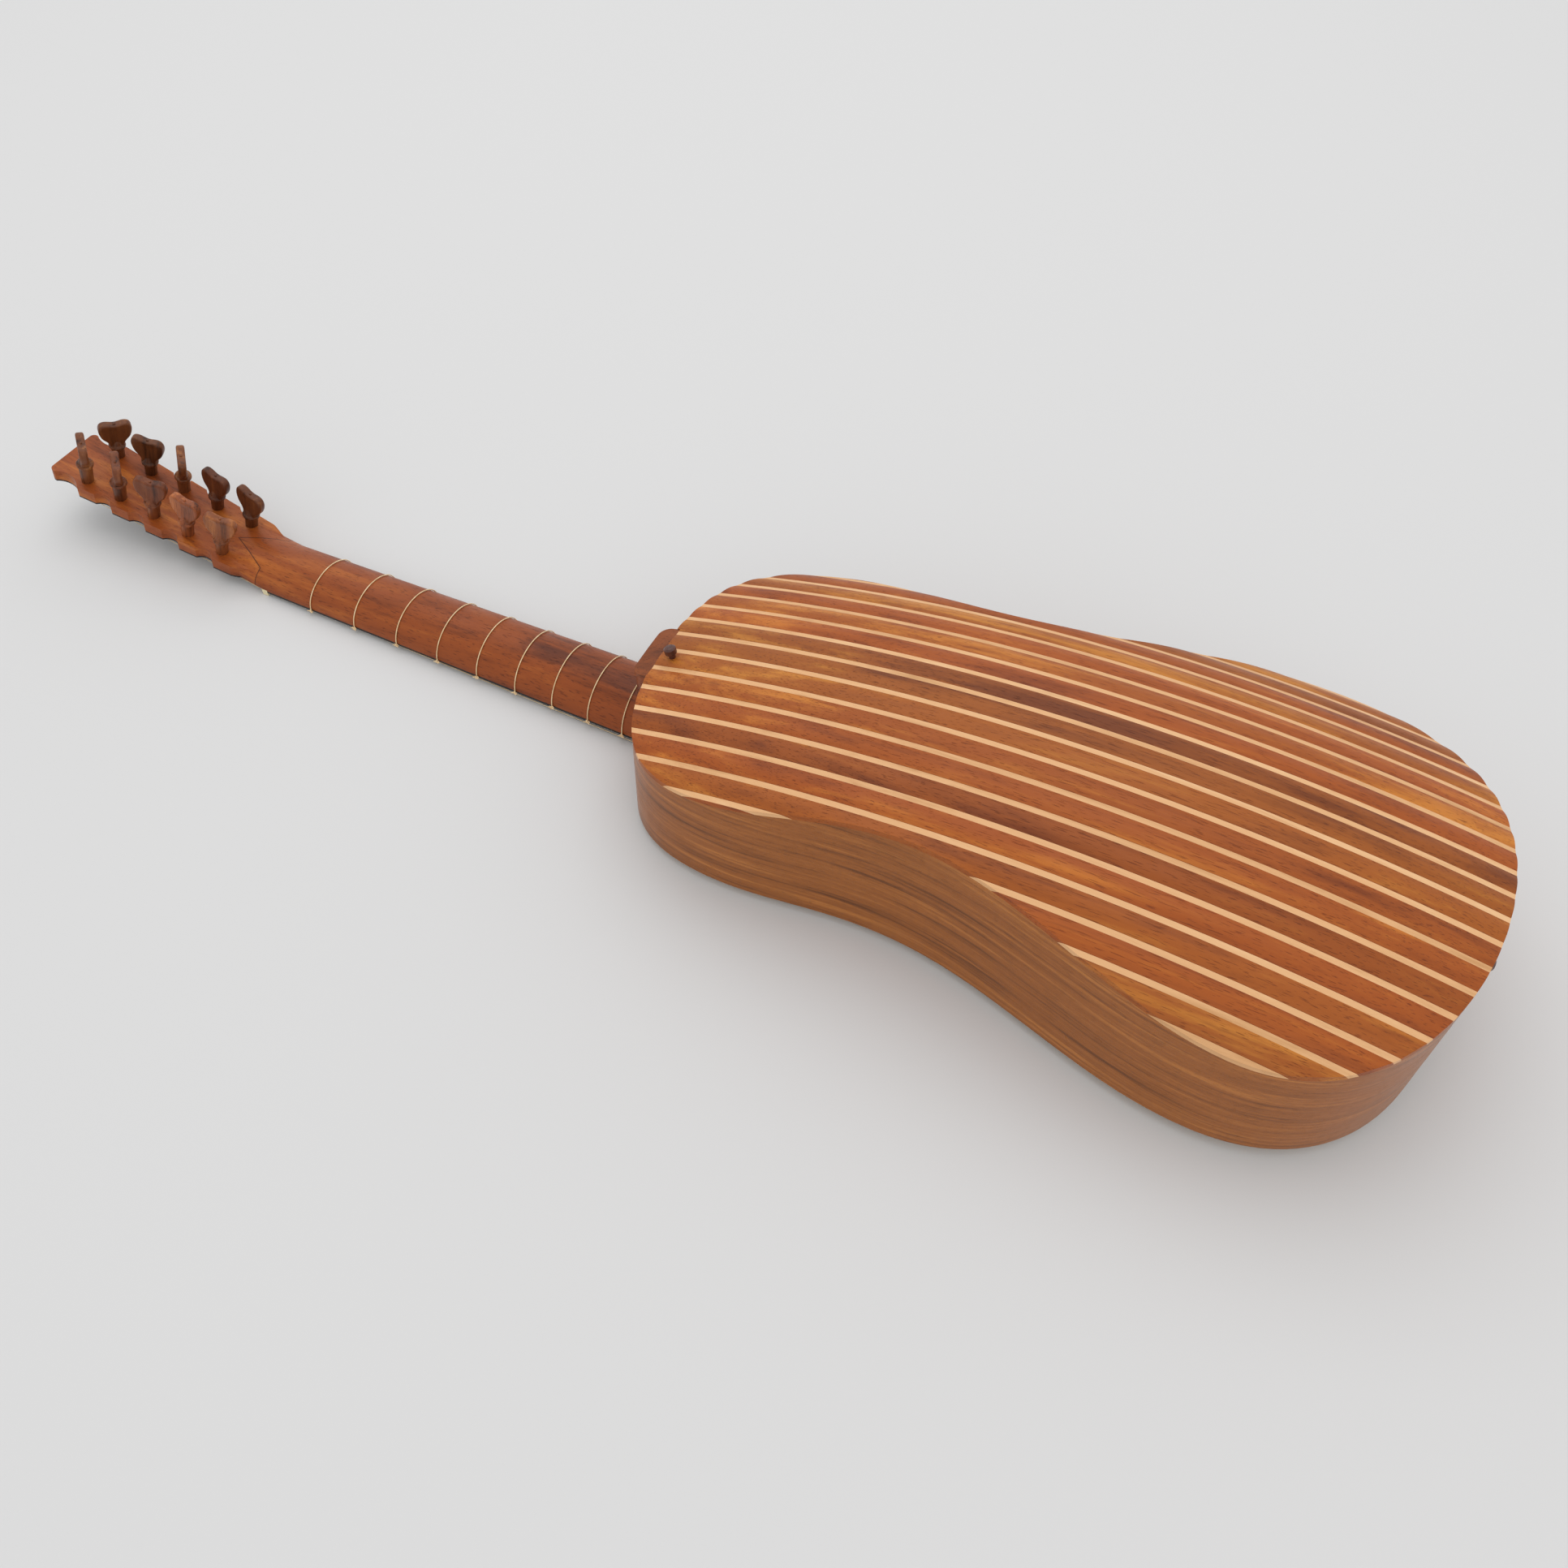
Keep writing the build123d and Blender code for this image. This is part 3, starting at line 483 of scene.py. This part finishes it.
def finishPlainWoods():
    dress(["side_bass"], sideMaterial("bass side wood", sideWood))
    dress(["side_treble"], sideMaterial("treble side wood", sideWood))
    dress(["neck"], woodMaterial("neck wood", dict(neckWood, veeLine=0.0006)))
    dress(["head"], woodMaterial("head wood", dict(headWood, veeLine=0.0006)))
    dress(["heel_cap"], woodMaterial("heel cap wood", capWood))
    innerPieces = ["neck_block", "tail_block", "linings", "soundboard_bars"]
    dress(innerPieces, woodMaterial("inner softwood", blockWood))
    dress(["soundboard"], woodMaterial("soundboard spruce", spruceWood))
    blackPieces = ["fingerboard", "head_veneer", "bridge", "bridge_moustaches", "rose_border", "body_frets"]
    dress(blackPieces, woodMaterial("ebony", ebonyWood))
    dress(["strap_button_heel", "strap_button_tail"], woodMaterial("button wood", buttonWood))
    print("plain woods finished")


finishPlainWoods()


# ---- bone, gut and parchment

smallStuff = {
    "boneDark": (0.70, 0.55, 0.30),
    "boneLight": (0.88, 0.78, 0.52),
    "gutDark": (0.72, 0.50, 0.26),
    "gutLight": (0.90, 0.70, 0.43),
    "gutTwists": 1100.0,  # turns of twist per metre
    "parchmentDark": (0.62, 0.48, 0.28),
    "parchmentLight": (0.82, 0.71, 0.50),
}


def cloudyMaterial(name, dark, light, scale, roughness, depth, coat=0.0):
    material, tree, shader, place, plain = startMaterial(name)
    cloud = noiseAt(tree, place, scale, 5.0, 0.6)
    speck = noiseAt(tree, place, scale * 9, 2.0, 0.5)
    color = mixColors(tree, rangeOf(tree, cloud, 0.3, 0.7), (*dark, 1), (*light, 1))
    color = mixColors(tree, calc(tree, "MULTIPLY", rangeOf(tree, speck, 0.6, 0.75), 0.3), color, (*dark, 1))
    polish = placeGroup(tree, handPolish, Place=place, Glossy=roughness, Dull=roughness + 0.15)
    feed(tree, shader.inputs["Base Color"], color)
    feed(tree, shader.inputs["Roughness"], polish["Roughness"])
    addBump(tree, shader, speck, depth)
    shader.inputs["Coat Weight"].default_value = coat
    shader.inputs["Subsurface Weight"].default_value = 0.15
    shader.inputs["Subsurface Scale"].default_value = 0.002
    return material


def gutMaterial(name, turn=(0, 0, 0)):
    material, tree, shader, place, plain = startMaterial(name, turn=turn)
    twist = addNode(tree, "ShaderNodeTexWave", bands_direction="DIAGONAL")
    feed(tree, twist.inputs["Vector"], place)
    twist.inputs["Scale"].default_value = smallStuff["gutTwists"] / 20
    twist.inputs["Distortion"].default_value = 1.5
    cloud = noiseAt(tree, place, 300.0, 3.0, 0.5)
    dark, light = (*smallStuff["gutDark"], 1), (*smallStuff["gutLight"], 1)
    color = mixColors(tree, rangeOf(tree, cloud, 0.3, 0.7), dark, light)
    color = mixColors(tree, calc(tree, "MULTIPLY", twist.outputs["Fac"], 0.25), color, dark)
    feed(tree, shader.inputs["Base Color"], color)
    feed(tree, shader.inputs["Roughness"], rangeOf(tree, cloud, 0.2, 0.8, 0.32, 0.5))
    addBump(tree, shader, twist.outputs["Fac"], 0.00005)
    return material


boneMaterial = cloudyMaterial(
    "bone", smallStuff["boneDark"], smallStuff["boneLight"], 180.0, 0.28, 0.00002, 0.2)
parchment = cloudyMaterial(
    "parchment", smallStuff["parchmentDark"], smallStuff["parchmentLight"], 90.0, 0.55, 0.00006)
fretGut = gutMaterial("tied gut")
stringGut = gutMaterial("string gut", (0, 0, 90))
dress(["nut"], boneMaterial)
dress(["soundhole_rose"], parchment)
dress(["strings"], stringGut)
print("bone, gut and parchment finished")


# ---- mesh helpers

def keepMesh(name, vertices, faces, material, body, seat=None):
    mesh = bpy.data.meshes.new(name)
    mesh.from_pydata([tuple(vertex) for vertex in vertices], [], faces)
    made = bmesh.new()
    made.from_mesh(mesh)
    bmesh.ops.recalc_face_normals(made, faces=made.faces)
    made.to_mesh(mesh)
    made.free()
    mesh.polygons.foreach_set("use_smooth", [True] * len(mesh.polygons))
    mesh.materials.append(material)
    piece = bpy.data.objects.new(name, mesh)
    bpy.context.scene.collection.objects.link(piece)
    if seat is not None:
        piece.matrix_world = seat
    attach(piece, body)
    return piece


def tubeMesh(points, radius, closed=False, sides=12):
    # rings of vertices round a path, with the ends shut by a point unless it closes on itself
    count = len(points)
    vertices, faces = [], []
    normal = None
    for index, point in enumerate(points):
        before = points[index - 1] if index > 0 or closed else points[index]
        after = points[(index + 1) % count] if index < count - 1 or closed else points[index]
        forward = (after - before).normalized()
        if normal is None:
            normal = forward.orthogonal().normalized()
        normal = (normal - forward * normal.dot(forward)).normalized()
        other = forward.cross(normal)
        for side in range(sides):
            angle = math.tau * side / sides
            vertices.append(point + (normal * math.cos(angle) + other * math.sin(angle)) * radius)
    rings = count if closed else count - 1
    for ring in range(rings):
        first, second = ring * sides, ((ring + 1) % count) * sides
        for side in range(sides):
            following = (side + 1) % sides
            faces.append((first + side, first + following, second + following, second + side))
    if not closed:
        for ring, tip in ((0, points[0]), (count - 1, points[-1])):
            vertices.append(tip)
            hub = len(vertices) - 1
            for side in range(sides):
                faces.append((ring * sides + side, ring * sides + (side + 1) % sides, hub))
    return vertices, faces


# ---- gut frets, each tied with a knot at the fingerboard's treble edge

tiedFrets = {
    "gut": 0.9 * mm,
    "stretched": 0.68 * mm,  # the gut draws thinner once it is pulled tight
    "ellipseFoot": 2.52 * mm,  # from the loop's lowest point up to where its round back starts
    "arcSteps": 28,
    "knotSize": 1.35 * mm,
    "tailLength": 2.4 * mm,
}


def makeTiedFret(number):
    name = f"tied_fret_{number}"
    low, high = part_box(name)
    along = Vector(joints[name]["axis"]).normalized()
    across = Vector((0, 1, 0))
    rise = along.cross(across)
    if rise.z < 0:
        rise = -rise
    middle = (low + high) / 2
    radius = tiedFrets["stretched"] / 2
    inset = tiedFrets["gut"] / 2
    halfWidth = (high.y - low.y) / 2 - inset
    lowest = -(high.z - low.z) / 2 + inset
    highest = (high.z - low.z) / 2 - inset
    foot = lowest + tiedFrets["ellipseFoot"] - inset

    def spot(side, up, out=0.0):
        return middle + across * side + rise * up + along * out

    points = []
    for step in range(tiedFrets["arcSteps"] + 1):
        angle = math.pi * step / tiedFrets["arcSteps"]
        points.append(spot(halfWidth * math.cos(angle), foot + (highest - foot) * math.sin(angle)))
    corner = 0.5 * mm
    points += [spot(-halfWidth, lowest + corner), spot(-halfWidth + corner * 0.3, lowest + corner * 0.3),
               spot(-halfWidth + corner, lowest)]
    points += [spot(halfWidth * share, lowest) for share in (-0.6, -0.2, 0.2, 0.6)]
    points += [spot(halfWidth - corner, lowest), spot(halfWidth - corner * 0.3, lowest + corner * 0.3),
               spot(halfWidth, lowest + corner)]
    vertices, faces = tubeMesh(points, radius, closed=True, sides=14)
    loop = keepMesh(f"gut_loop_{number}", vertices, faces, fretGut, name)
    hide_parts(name)

    # a trefoil of the same gut makes the knot, with two short cut ends
    wobble = random.Random(number)
    centre = spot(-halfWidth - tiedFrets["knotSize"] * 0.35, lowest + 1.3 * mm)
    turn = wobble.uniform(0, math.tau)
    knot = []
    for step in range(48):
        angle = math.tau * step / 48
        flat = (math.sin(angle) + 2 * math.sin(2 * angle)) / 3
        side = (math.cos(angle) - 2 * math.cos(2 * angle)) / 3
        depth = -math.sin(3 * angle) / 3
        size = tiedFrets["knotSize"]
        spin = flat * math.cos(turn) - side * math.sin(turn), flat * math.sin(turn) + side * math.cos(turn)
        level = along * spin[0] * size + rise * spin[1] * size * 0.9
        knot.append(centre + level + across * depth * size * 0.8)
    vertices, faces = tubeMesh(knot, radius * 0.92, closed=True, sides=10)
    keepMesh(f"gut_knot_{number}", vertices, faces, fretGut, name)
    for label, way in (("a", 1), ("b", -1)):
        lean = Vector((0, -0.35 - wobble.uniform(0, 0.3), 0)) + along * way + rise * wobble.uniform(-0.1, 0.5)
        reach = lean.normalized() * tiedFrets["tailLength"]
        tail = [centre + reach * share for share in (0.0, 0.35, 0.7, 1.0)]
        vertices, faces = tubeMesh(tail, radius * 0.8, sides=10)
        keepMesh(f"gut_tail_{number}{label}", vertices, faces, fretGut, name)


for number in range(1, 10):
    makeTiedFret(number)
print("gut frets tied")


# ---- pegs, turned and then carved, each at the angle it was left at

pegShape = {
    "turns": [172, 174, 134, 18, 52, 14, 2, 19, 137, 139],
    "tones": [1.0, 0.95, 1.5, 1.1, 1.2, 2.0, 2.4, 1.4, 1.4, 1.5],  # how pale each one's wood is
    "shafts": [9.0, 9.5, 11.5, 9.5, 9.0, 11.0, 11.0, 11.5, 13.5, 14.5],  # how far each stands out, in mm
    "headThickness": 9.3 * mm,
    "tip": 8.5 * mm,
    "frontRadius": 3.75 * mm,
    "backRadius": 4.1 * mm,
    "spindleRadius": 2.6 * mm,
    "spindleTop": 1.2 * mm,
    "spindleFoot": 7.0 * mm,
    "collarRadius": 5.8 * mm,
    "collarHeight": 2.8 * mm,
    "thumbHeight": 19.5 * mm,
    "thumbHalfWidth": 11.2 * mm,
    "thumbHalfThickness": 2.9 * mm,
    "footHalfWidth": 4.9 * mm,
    "lobeHeight": 11.0 * mm,
    "notch": 1.2 * mm,
    "pinRadius": 0.9 * mm,
    "sides": 48,
}

pegWood = dict(
    backRibs,
    dark=(0.035, 0.009, 0.003),
    middle=(0.120, 0.032, 0.010),
    light=(0.230, 0.075, 0.022),
    streaks=300.0,
    stretch=0.06,
    wave=0.003,
    contrast=1.0,
    pores=0.5,
    glossy=0.26,
    dull=0.42,
    bump=0.00008,
    coat=0.10,
    turn=(0, 90, 0),
)


def turnedProfile(top):
    # height and radius pairs from the tip to the top of the collar
    shape = pegShape
    slope = (shape["backRadius"] - shape["frontRadius"]) / shape["headThickness"]
    spindle, flange = shape["spindleRadius"], shape["spindleRadius"] + 0.6 * mm
    tip, foot = -shape["tip"], -shape["spindleFoot"]
    profile = [(tip, 0.0), (tip, 0.7 * spindle), (tip + 0.25 * mm, 0.92 * spindle + 0.2 * mm)]
    profile += [(tip + 0.6 * mm, flange), (foot - 0.6 * mm, flange), (foot - 0.2 * mm, spindle + 0.2 * mm)]
    profile += [(foot, spindle), (-shape["spindleTop"], spindle)]
    start = shape["frontRadius"] - slope * shape["spindleTop"]
    profile += [(-shape["spindleTop"], start - 0.15 * mm), (-shape["spindleTop"] + 0.15 * mm, start)]
    profile += [(top - 0.8 * mm, shape["frontRadius"] + slope * top), (top - 0.2 * mm, 4.6 * mm)]
    for step in range(9):
        angle = math.pi * (step / 8 - 0.5)
        height = top + shape["collarHeight"] * (0.5 + 0.5 * math.sin(angle))
        profile.append((height, shape["collarRadius"] - 1.1 * mm * (1 - math.cos(angle))))
    crown = top + shape["collarHeight"]
    profile += [(crown + 0.2 * mm, 4.3 * mm), (crown + 0.9 * mm, 3.9 * mm), (crown + 3.0 * mm, 3.3 * mm)]
    profile += [(crown + 4.6 * mm, 1.5 * mm), (crown + 4.8 * mm, 0.0)]
    return profile


def turnedVertices(profile, sides):
    vertices, faces, rings = [], [], []
    for height, radius in profile:
        start = len(vertices)
        if radius == 0.0:
            vertices.append(Vector((0, 0, height)))
            rings.append((start, 1))
            continue
        for side in range(sides):
            angle = math.tau * side / sides
            vertices.append(Vector((radius * math.cos(angle), radius * math.sin(angle), height)))
        rings.append((start, sides))
    for (first, firstCount), (second, secondCount) in zip(rings, rings[1:]):
        for side in range(sides):
            following = (side + 1) % sides
            if firstCount == 1:
                faces.append((first, second + following, second + side))
            elif secondCount == 1:
                faces.append((first + side, first + following, second))
            else:
                faces.append((first + side, first + following, second + following, second + side))
    return vertices, faces


def thumbOutline():
    # half of the plate's outline, from the collar up round one lobe to the middle of the top
    shape = pegShape
    wide, tall = shape["thumbHalfWidth"], shape["thumbHeight"]
    foot, lobe, notch = shape["footHalfWidth"], shape["lobeHeight"], shape["notch"]
    controls = [
        [(foot, -0.4 * mm), (foot, 0.2 * tall),
         (0.78 * wide, tall - 1.3 * lobe), (0.88 * wide, tall - lobe)],
        [(0.88 * wide, tall - lobe), (1.08 * wide, tall - 0.5 * lobe),
         (1.04 * wide, tall), (0.62 * wide, tall)],
        [(0.62 * wide, tall), (0.40 * wide, tall), (0.22 * wide, tall - notch), (0.0, tall - notch)],
    ]
    points = []
    for curve in controls:
        for step in range(10):
            t = step / 10
            weights = ((1 - t) ** 3, 3 * t * (1 - t) ** 2, 3 * t * t * (1 - t), t ** 3)
            points.append(tuple(
                sum(w * point[axis] for w, point in zip(weights, curve)) for axis in range(2)))
    points.append((0.0, tall - notch))
    return points


def thumbVertices(foot, wobble):
    # the plate is cut to its outline, its faces are dished a little and its rim is rounded
    shape = pegShape
    right = thumbOutline()
    left = [(-across, up) for across, up in reversed(right[:-1])]
    outline = right + left
    centre = (0.0, 0.60 * shape["thumbHeight"])
    skew = wobble.uniform(-0.05, 0.05)
    rings = [(0.0, 0.72), (0.35, 0.78), (0.62, 0.88), (0.86, 0.97), (0.94, 0.90), (0.985, 0.72), (1.0, 0.45)]
    vertices, faces = [], []

    def ring(share, level):
        start = len(vertices)
        for across, up in outline:
            x = centre[0] + (across - centre[0]) * share
            y = centre[1] + (up - centre[1]) * share
            vertices.append(Vector((x, shape["thumbHalfThickness"] * level, foot + y + skew * x)))
        return start

    levels = [ring(share, level) for share, level in rings[1:]]
    levels += [ring(share, -level) for share, level in reversed(rings[1:])]
    count = len(outline)
    for first, second in zip(levels, levels[1:]):
        for index in range(count):
            following = (index + 1) % count
            faces.append((first + index, first + following, second + following, second + index))
    for start, level in ((levels[0], rings[0][1]), (levels[-1], -rings[0][1])):
        vertices.append(Vector((centre[0], shape["thumbHalfThickness"] * level, foot + centre[1])))
        hub = len(vertices) - 1
        for index in range(count):
            faces.append((start + index, start + (index + 1) % count, hub))
    return vertices, faces


def pinProfile(top):
    # a small round button let into the middle of the thumb plate's top edge
    radius = pegShape["pinRadius"]
    profile = [(top - 1.5 * mm, 0.0), (top - 1.5 * mm, radius)]
    for step in range(7):
        angle = math.pi / 2 * step / 6
        profile.append((top + 0.2 * mm + 0.6 * mm * math.sin(angle), radius * math.cos(angle)))
    profile[-1] = (profile[-1][0], 0.0)
    return profile


def makePeg(number):
    name = f"peg_{number:02d}"
    joint = joints[name]
    axis = Vector(joint["axis"]).normalized()
    toEnd = Vector((0, -1, 0)).cross(axis).normalized()
    facing = math.radians(pegShape["turns"][number - 1])
    wide = toEnd * math.cos(facing) + Vector((0, -1, 0)) * math.sin(facing)
    thick = axis.cross(wide)
    seat = Matrix((wide, thick, axis)).transposed().to_4x4()
    seat.translation = Vector(joint["pos_m"])
    wobble = random.Random(100 + number)
    look = tinted(pegWood, pegShape["tones"][number - 1], 1 + wobble.uniform(-0.05, 0.15))
    material = woodMaterial(name + " rosewood", look)
    collarFoot = pegShape["headThickness"] + pegShape["shafts"][number - 1] * mm
    thumbFoot = collarFoot + pegShape["collarHeight"]
    pinTop = thumbFoot + pegShape["thumbHeight"] - pegShape["notch"]
    for label, (vertices, faces) in (
            ("shaft", turnedVertices(turnedProfile(collarFoot), pegShape["sides"])),
            ("thumb", thumbVertices(thumbFoot, wobble)),
            ("pin", turnedVertices(pinProfile(pinTop), 24))):
        piece = keepMesh(f"{name}_{label}", vertices, faces, material, name, seat)
        if label == "shaft":
            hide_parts(name)
            crisp = piece.modifiers.new("crisp", "BEVEL")
            crisp.width = 0.12 * mm
            crisp.segments = 2
            crisp.limit_method = "ANGLE"
            crisp.angle_limit = math.radians(35)


for number in range(1, 11):
    makePeg(number)
print("pegs turned and carved")


# ---- strings wound on the pegs

stringTurns = {
    "radii": [0.36, 0.33, 0.33, 0.30, 0.36, 0.23, 0.26, 0.26, 0.30, 0.23],
    "turns": 4.5,
    "pitch": 0.85 * mm,
    "deepest": 5.4 * mm,
    "steps": 20,
}


def makeStringTurns(number):
    name = f"peg_{number:02d}"
    joint = joints[name]
    axis = Vector(joint["axis"]).normalized()
    seat = Vector(joint["pos_m"])
    radius = stringTurns["radii"][number - 1] * mm
    across = Vector((0, -1, 0))
    toEnd = across.cross(axis).normalized()
    count = int(stringTurns["turns"] * stringTurns["steps"])
    path = []
    for step in range(count + 1):
        turned = math.tau * step / stringTurns["steps"]
        depth = stringTurns["deepest"] - stringTurns["pitch"] * step / stringTurns["steps"]
        out = pegShape["spindleRadius"] + radius
        path.append(seat - axis * depth + (toEnd * math.cos(turned) + across * math.sin(turned)) * out)
    vertices, faces = tubeMesh(path, radius, sides=8)
    keepMesh(f"string_turns_{number:02d}", vertices, faces, stringGut, name)


for number in range(1, 11):
    makeStringTurns(number)
print("strings wound")


# ---- soft edges on the flat-cut pieces

softEdges = {
    "head": 0.6 * mm,
    "heel_cap": 0.5 * mm,
    "strap_button_heel": 0.35 * mm,
    "strap_button_tail": 0.35 * mm,
    "nut": 0.3 * mm,
    "bridge": 0.8 * mm,
}


def softenEdges():
    for name, width in softEdges.items():
        bevel = nodes[name].modifiers.new("softened edges", "BEVEL")
        bevel.width = width
        bevel.segments = 2
        bevel.limit_method = "ANGLE"
        bevel.angle_limit = math.radians(40)
    print("edges softened")


softenEdges()


# ---- floor, light and camera

studio = {
    "floorColor": (0.70, 0.70, 0.70, 1),
    "floorHalf": 6.0,
    "floorDrop": 0.3 * mm,
    "skyStrength": 0.83,
    "skyColor": (1.0, 1.0, 1.0, 1),
    "keyPower": 18.0,
    "keySize": 2.6,
    "keyPlace": (-0.5, 0.9, 2.4),
    "keyTarget": (0.0, 0.0, 0.05),
    "fillPower": 5.0,
    "fillSize": 2.0,
    "fillPlace": (1.6, -1.6, 1.5),
    "cameraPlace": (0.3044, -0.4866, 0.6309),
    "cameraTurn": (40.314, 2.614, 29.367),
    "lens": 32.10,
    "shift": (0.0918, -0.0155),
}


def makeFloor():
    half = studio["floorHalf"]
    mesh = bpy.data.meshes.new("floor")
    corners = [(-half, -half), (half, -half), (half, half), (-half, half)]
    mesh.from_pydata([(x, y, -studio["floorDrop"]) for x, y in corners], [], [(0, 1, 2, 3)])
    floor = bpy.data.objects.new("floor", mesh)
    bpy.context.scene.collection.objects.link(floor)
    material, tree, shader, place, plain = startMaterial("pale paper")
    fibre = noiseAt(tree, place, 900.0, 3.0, 0.5)
    color = mixColors(tree, calc(tree, "MULTIPLY", fibre, 0.02), studio["floorColor"], (0.7, 0.7, 0.7, 1))
    feed(tree, shader.inputs["Base Color"], color)
    feed(tree, shader.inputs["Roughness"], rangeOf(tree, fibre, 0.2, 0.8, 0.85, 0.95))
    shader.inputs["Specular IOR Level"].default_value = 0.1
    mesh.materials.append(material)


def makeLamp(name, power, size, place):
    light = bpy.data.lights.new(name, "AREA")
    light.energy = power
    light.size = size
    lamp = bpy.data.objects.new(name, light)
    bpy.context.scene.collection.objects.link(lamp)
    lamp.location = place
    lamp.rotation_euler = (Vector(studio["keyTarget"]) - Vector(place)).to_track_quat("-Z", "Y").to_euler()


def makeStudio():
    makeFloor()
    makeLamp("soft key", studio["keyPower"], studio["keySize"], studio["keyPlace"])
    makeLamp("soft fill", studio["fillPower"], studio["fillSize"], studio["fillPlace"])
    world = bpy.data.worlds.new("pale room")
    world.use_nodes = True
    sky = world.node_tree.nodes["Background"]
    sky.inputs["Color"].default_value = studio["skyColor"]
    sky.inputs["Strength"].default_value = studio["skyStrength"]
    bpy.context.scene.world = world
    bpy.context.scene.view_settings.view_transform = "Standard"
    lensData = bpy.data.cameras.new("camera")
    lensData.lens = studio["lens"]
    lensData.sensor_width = 36.0
    lensData.shift_x, lensData.shift_y = studio["shift"]
    camera = bpy.data.objects.new("camera", lensData)
    bpy.context.scene.collection.objects.link(camera)
    camera.location = studio["cameraPlace"]
    camera.rotation_euler = Euler([math.radians(angle) for angle in studio["cameraTurn"]], "XYZ")
    bpy.context.scene.camera = camera
    print("studio ready")


makeStudio()
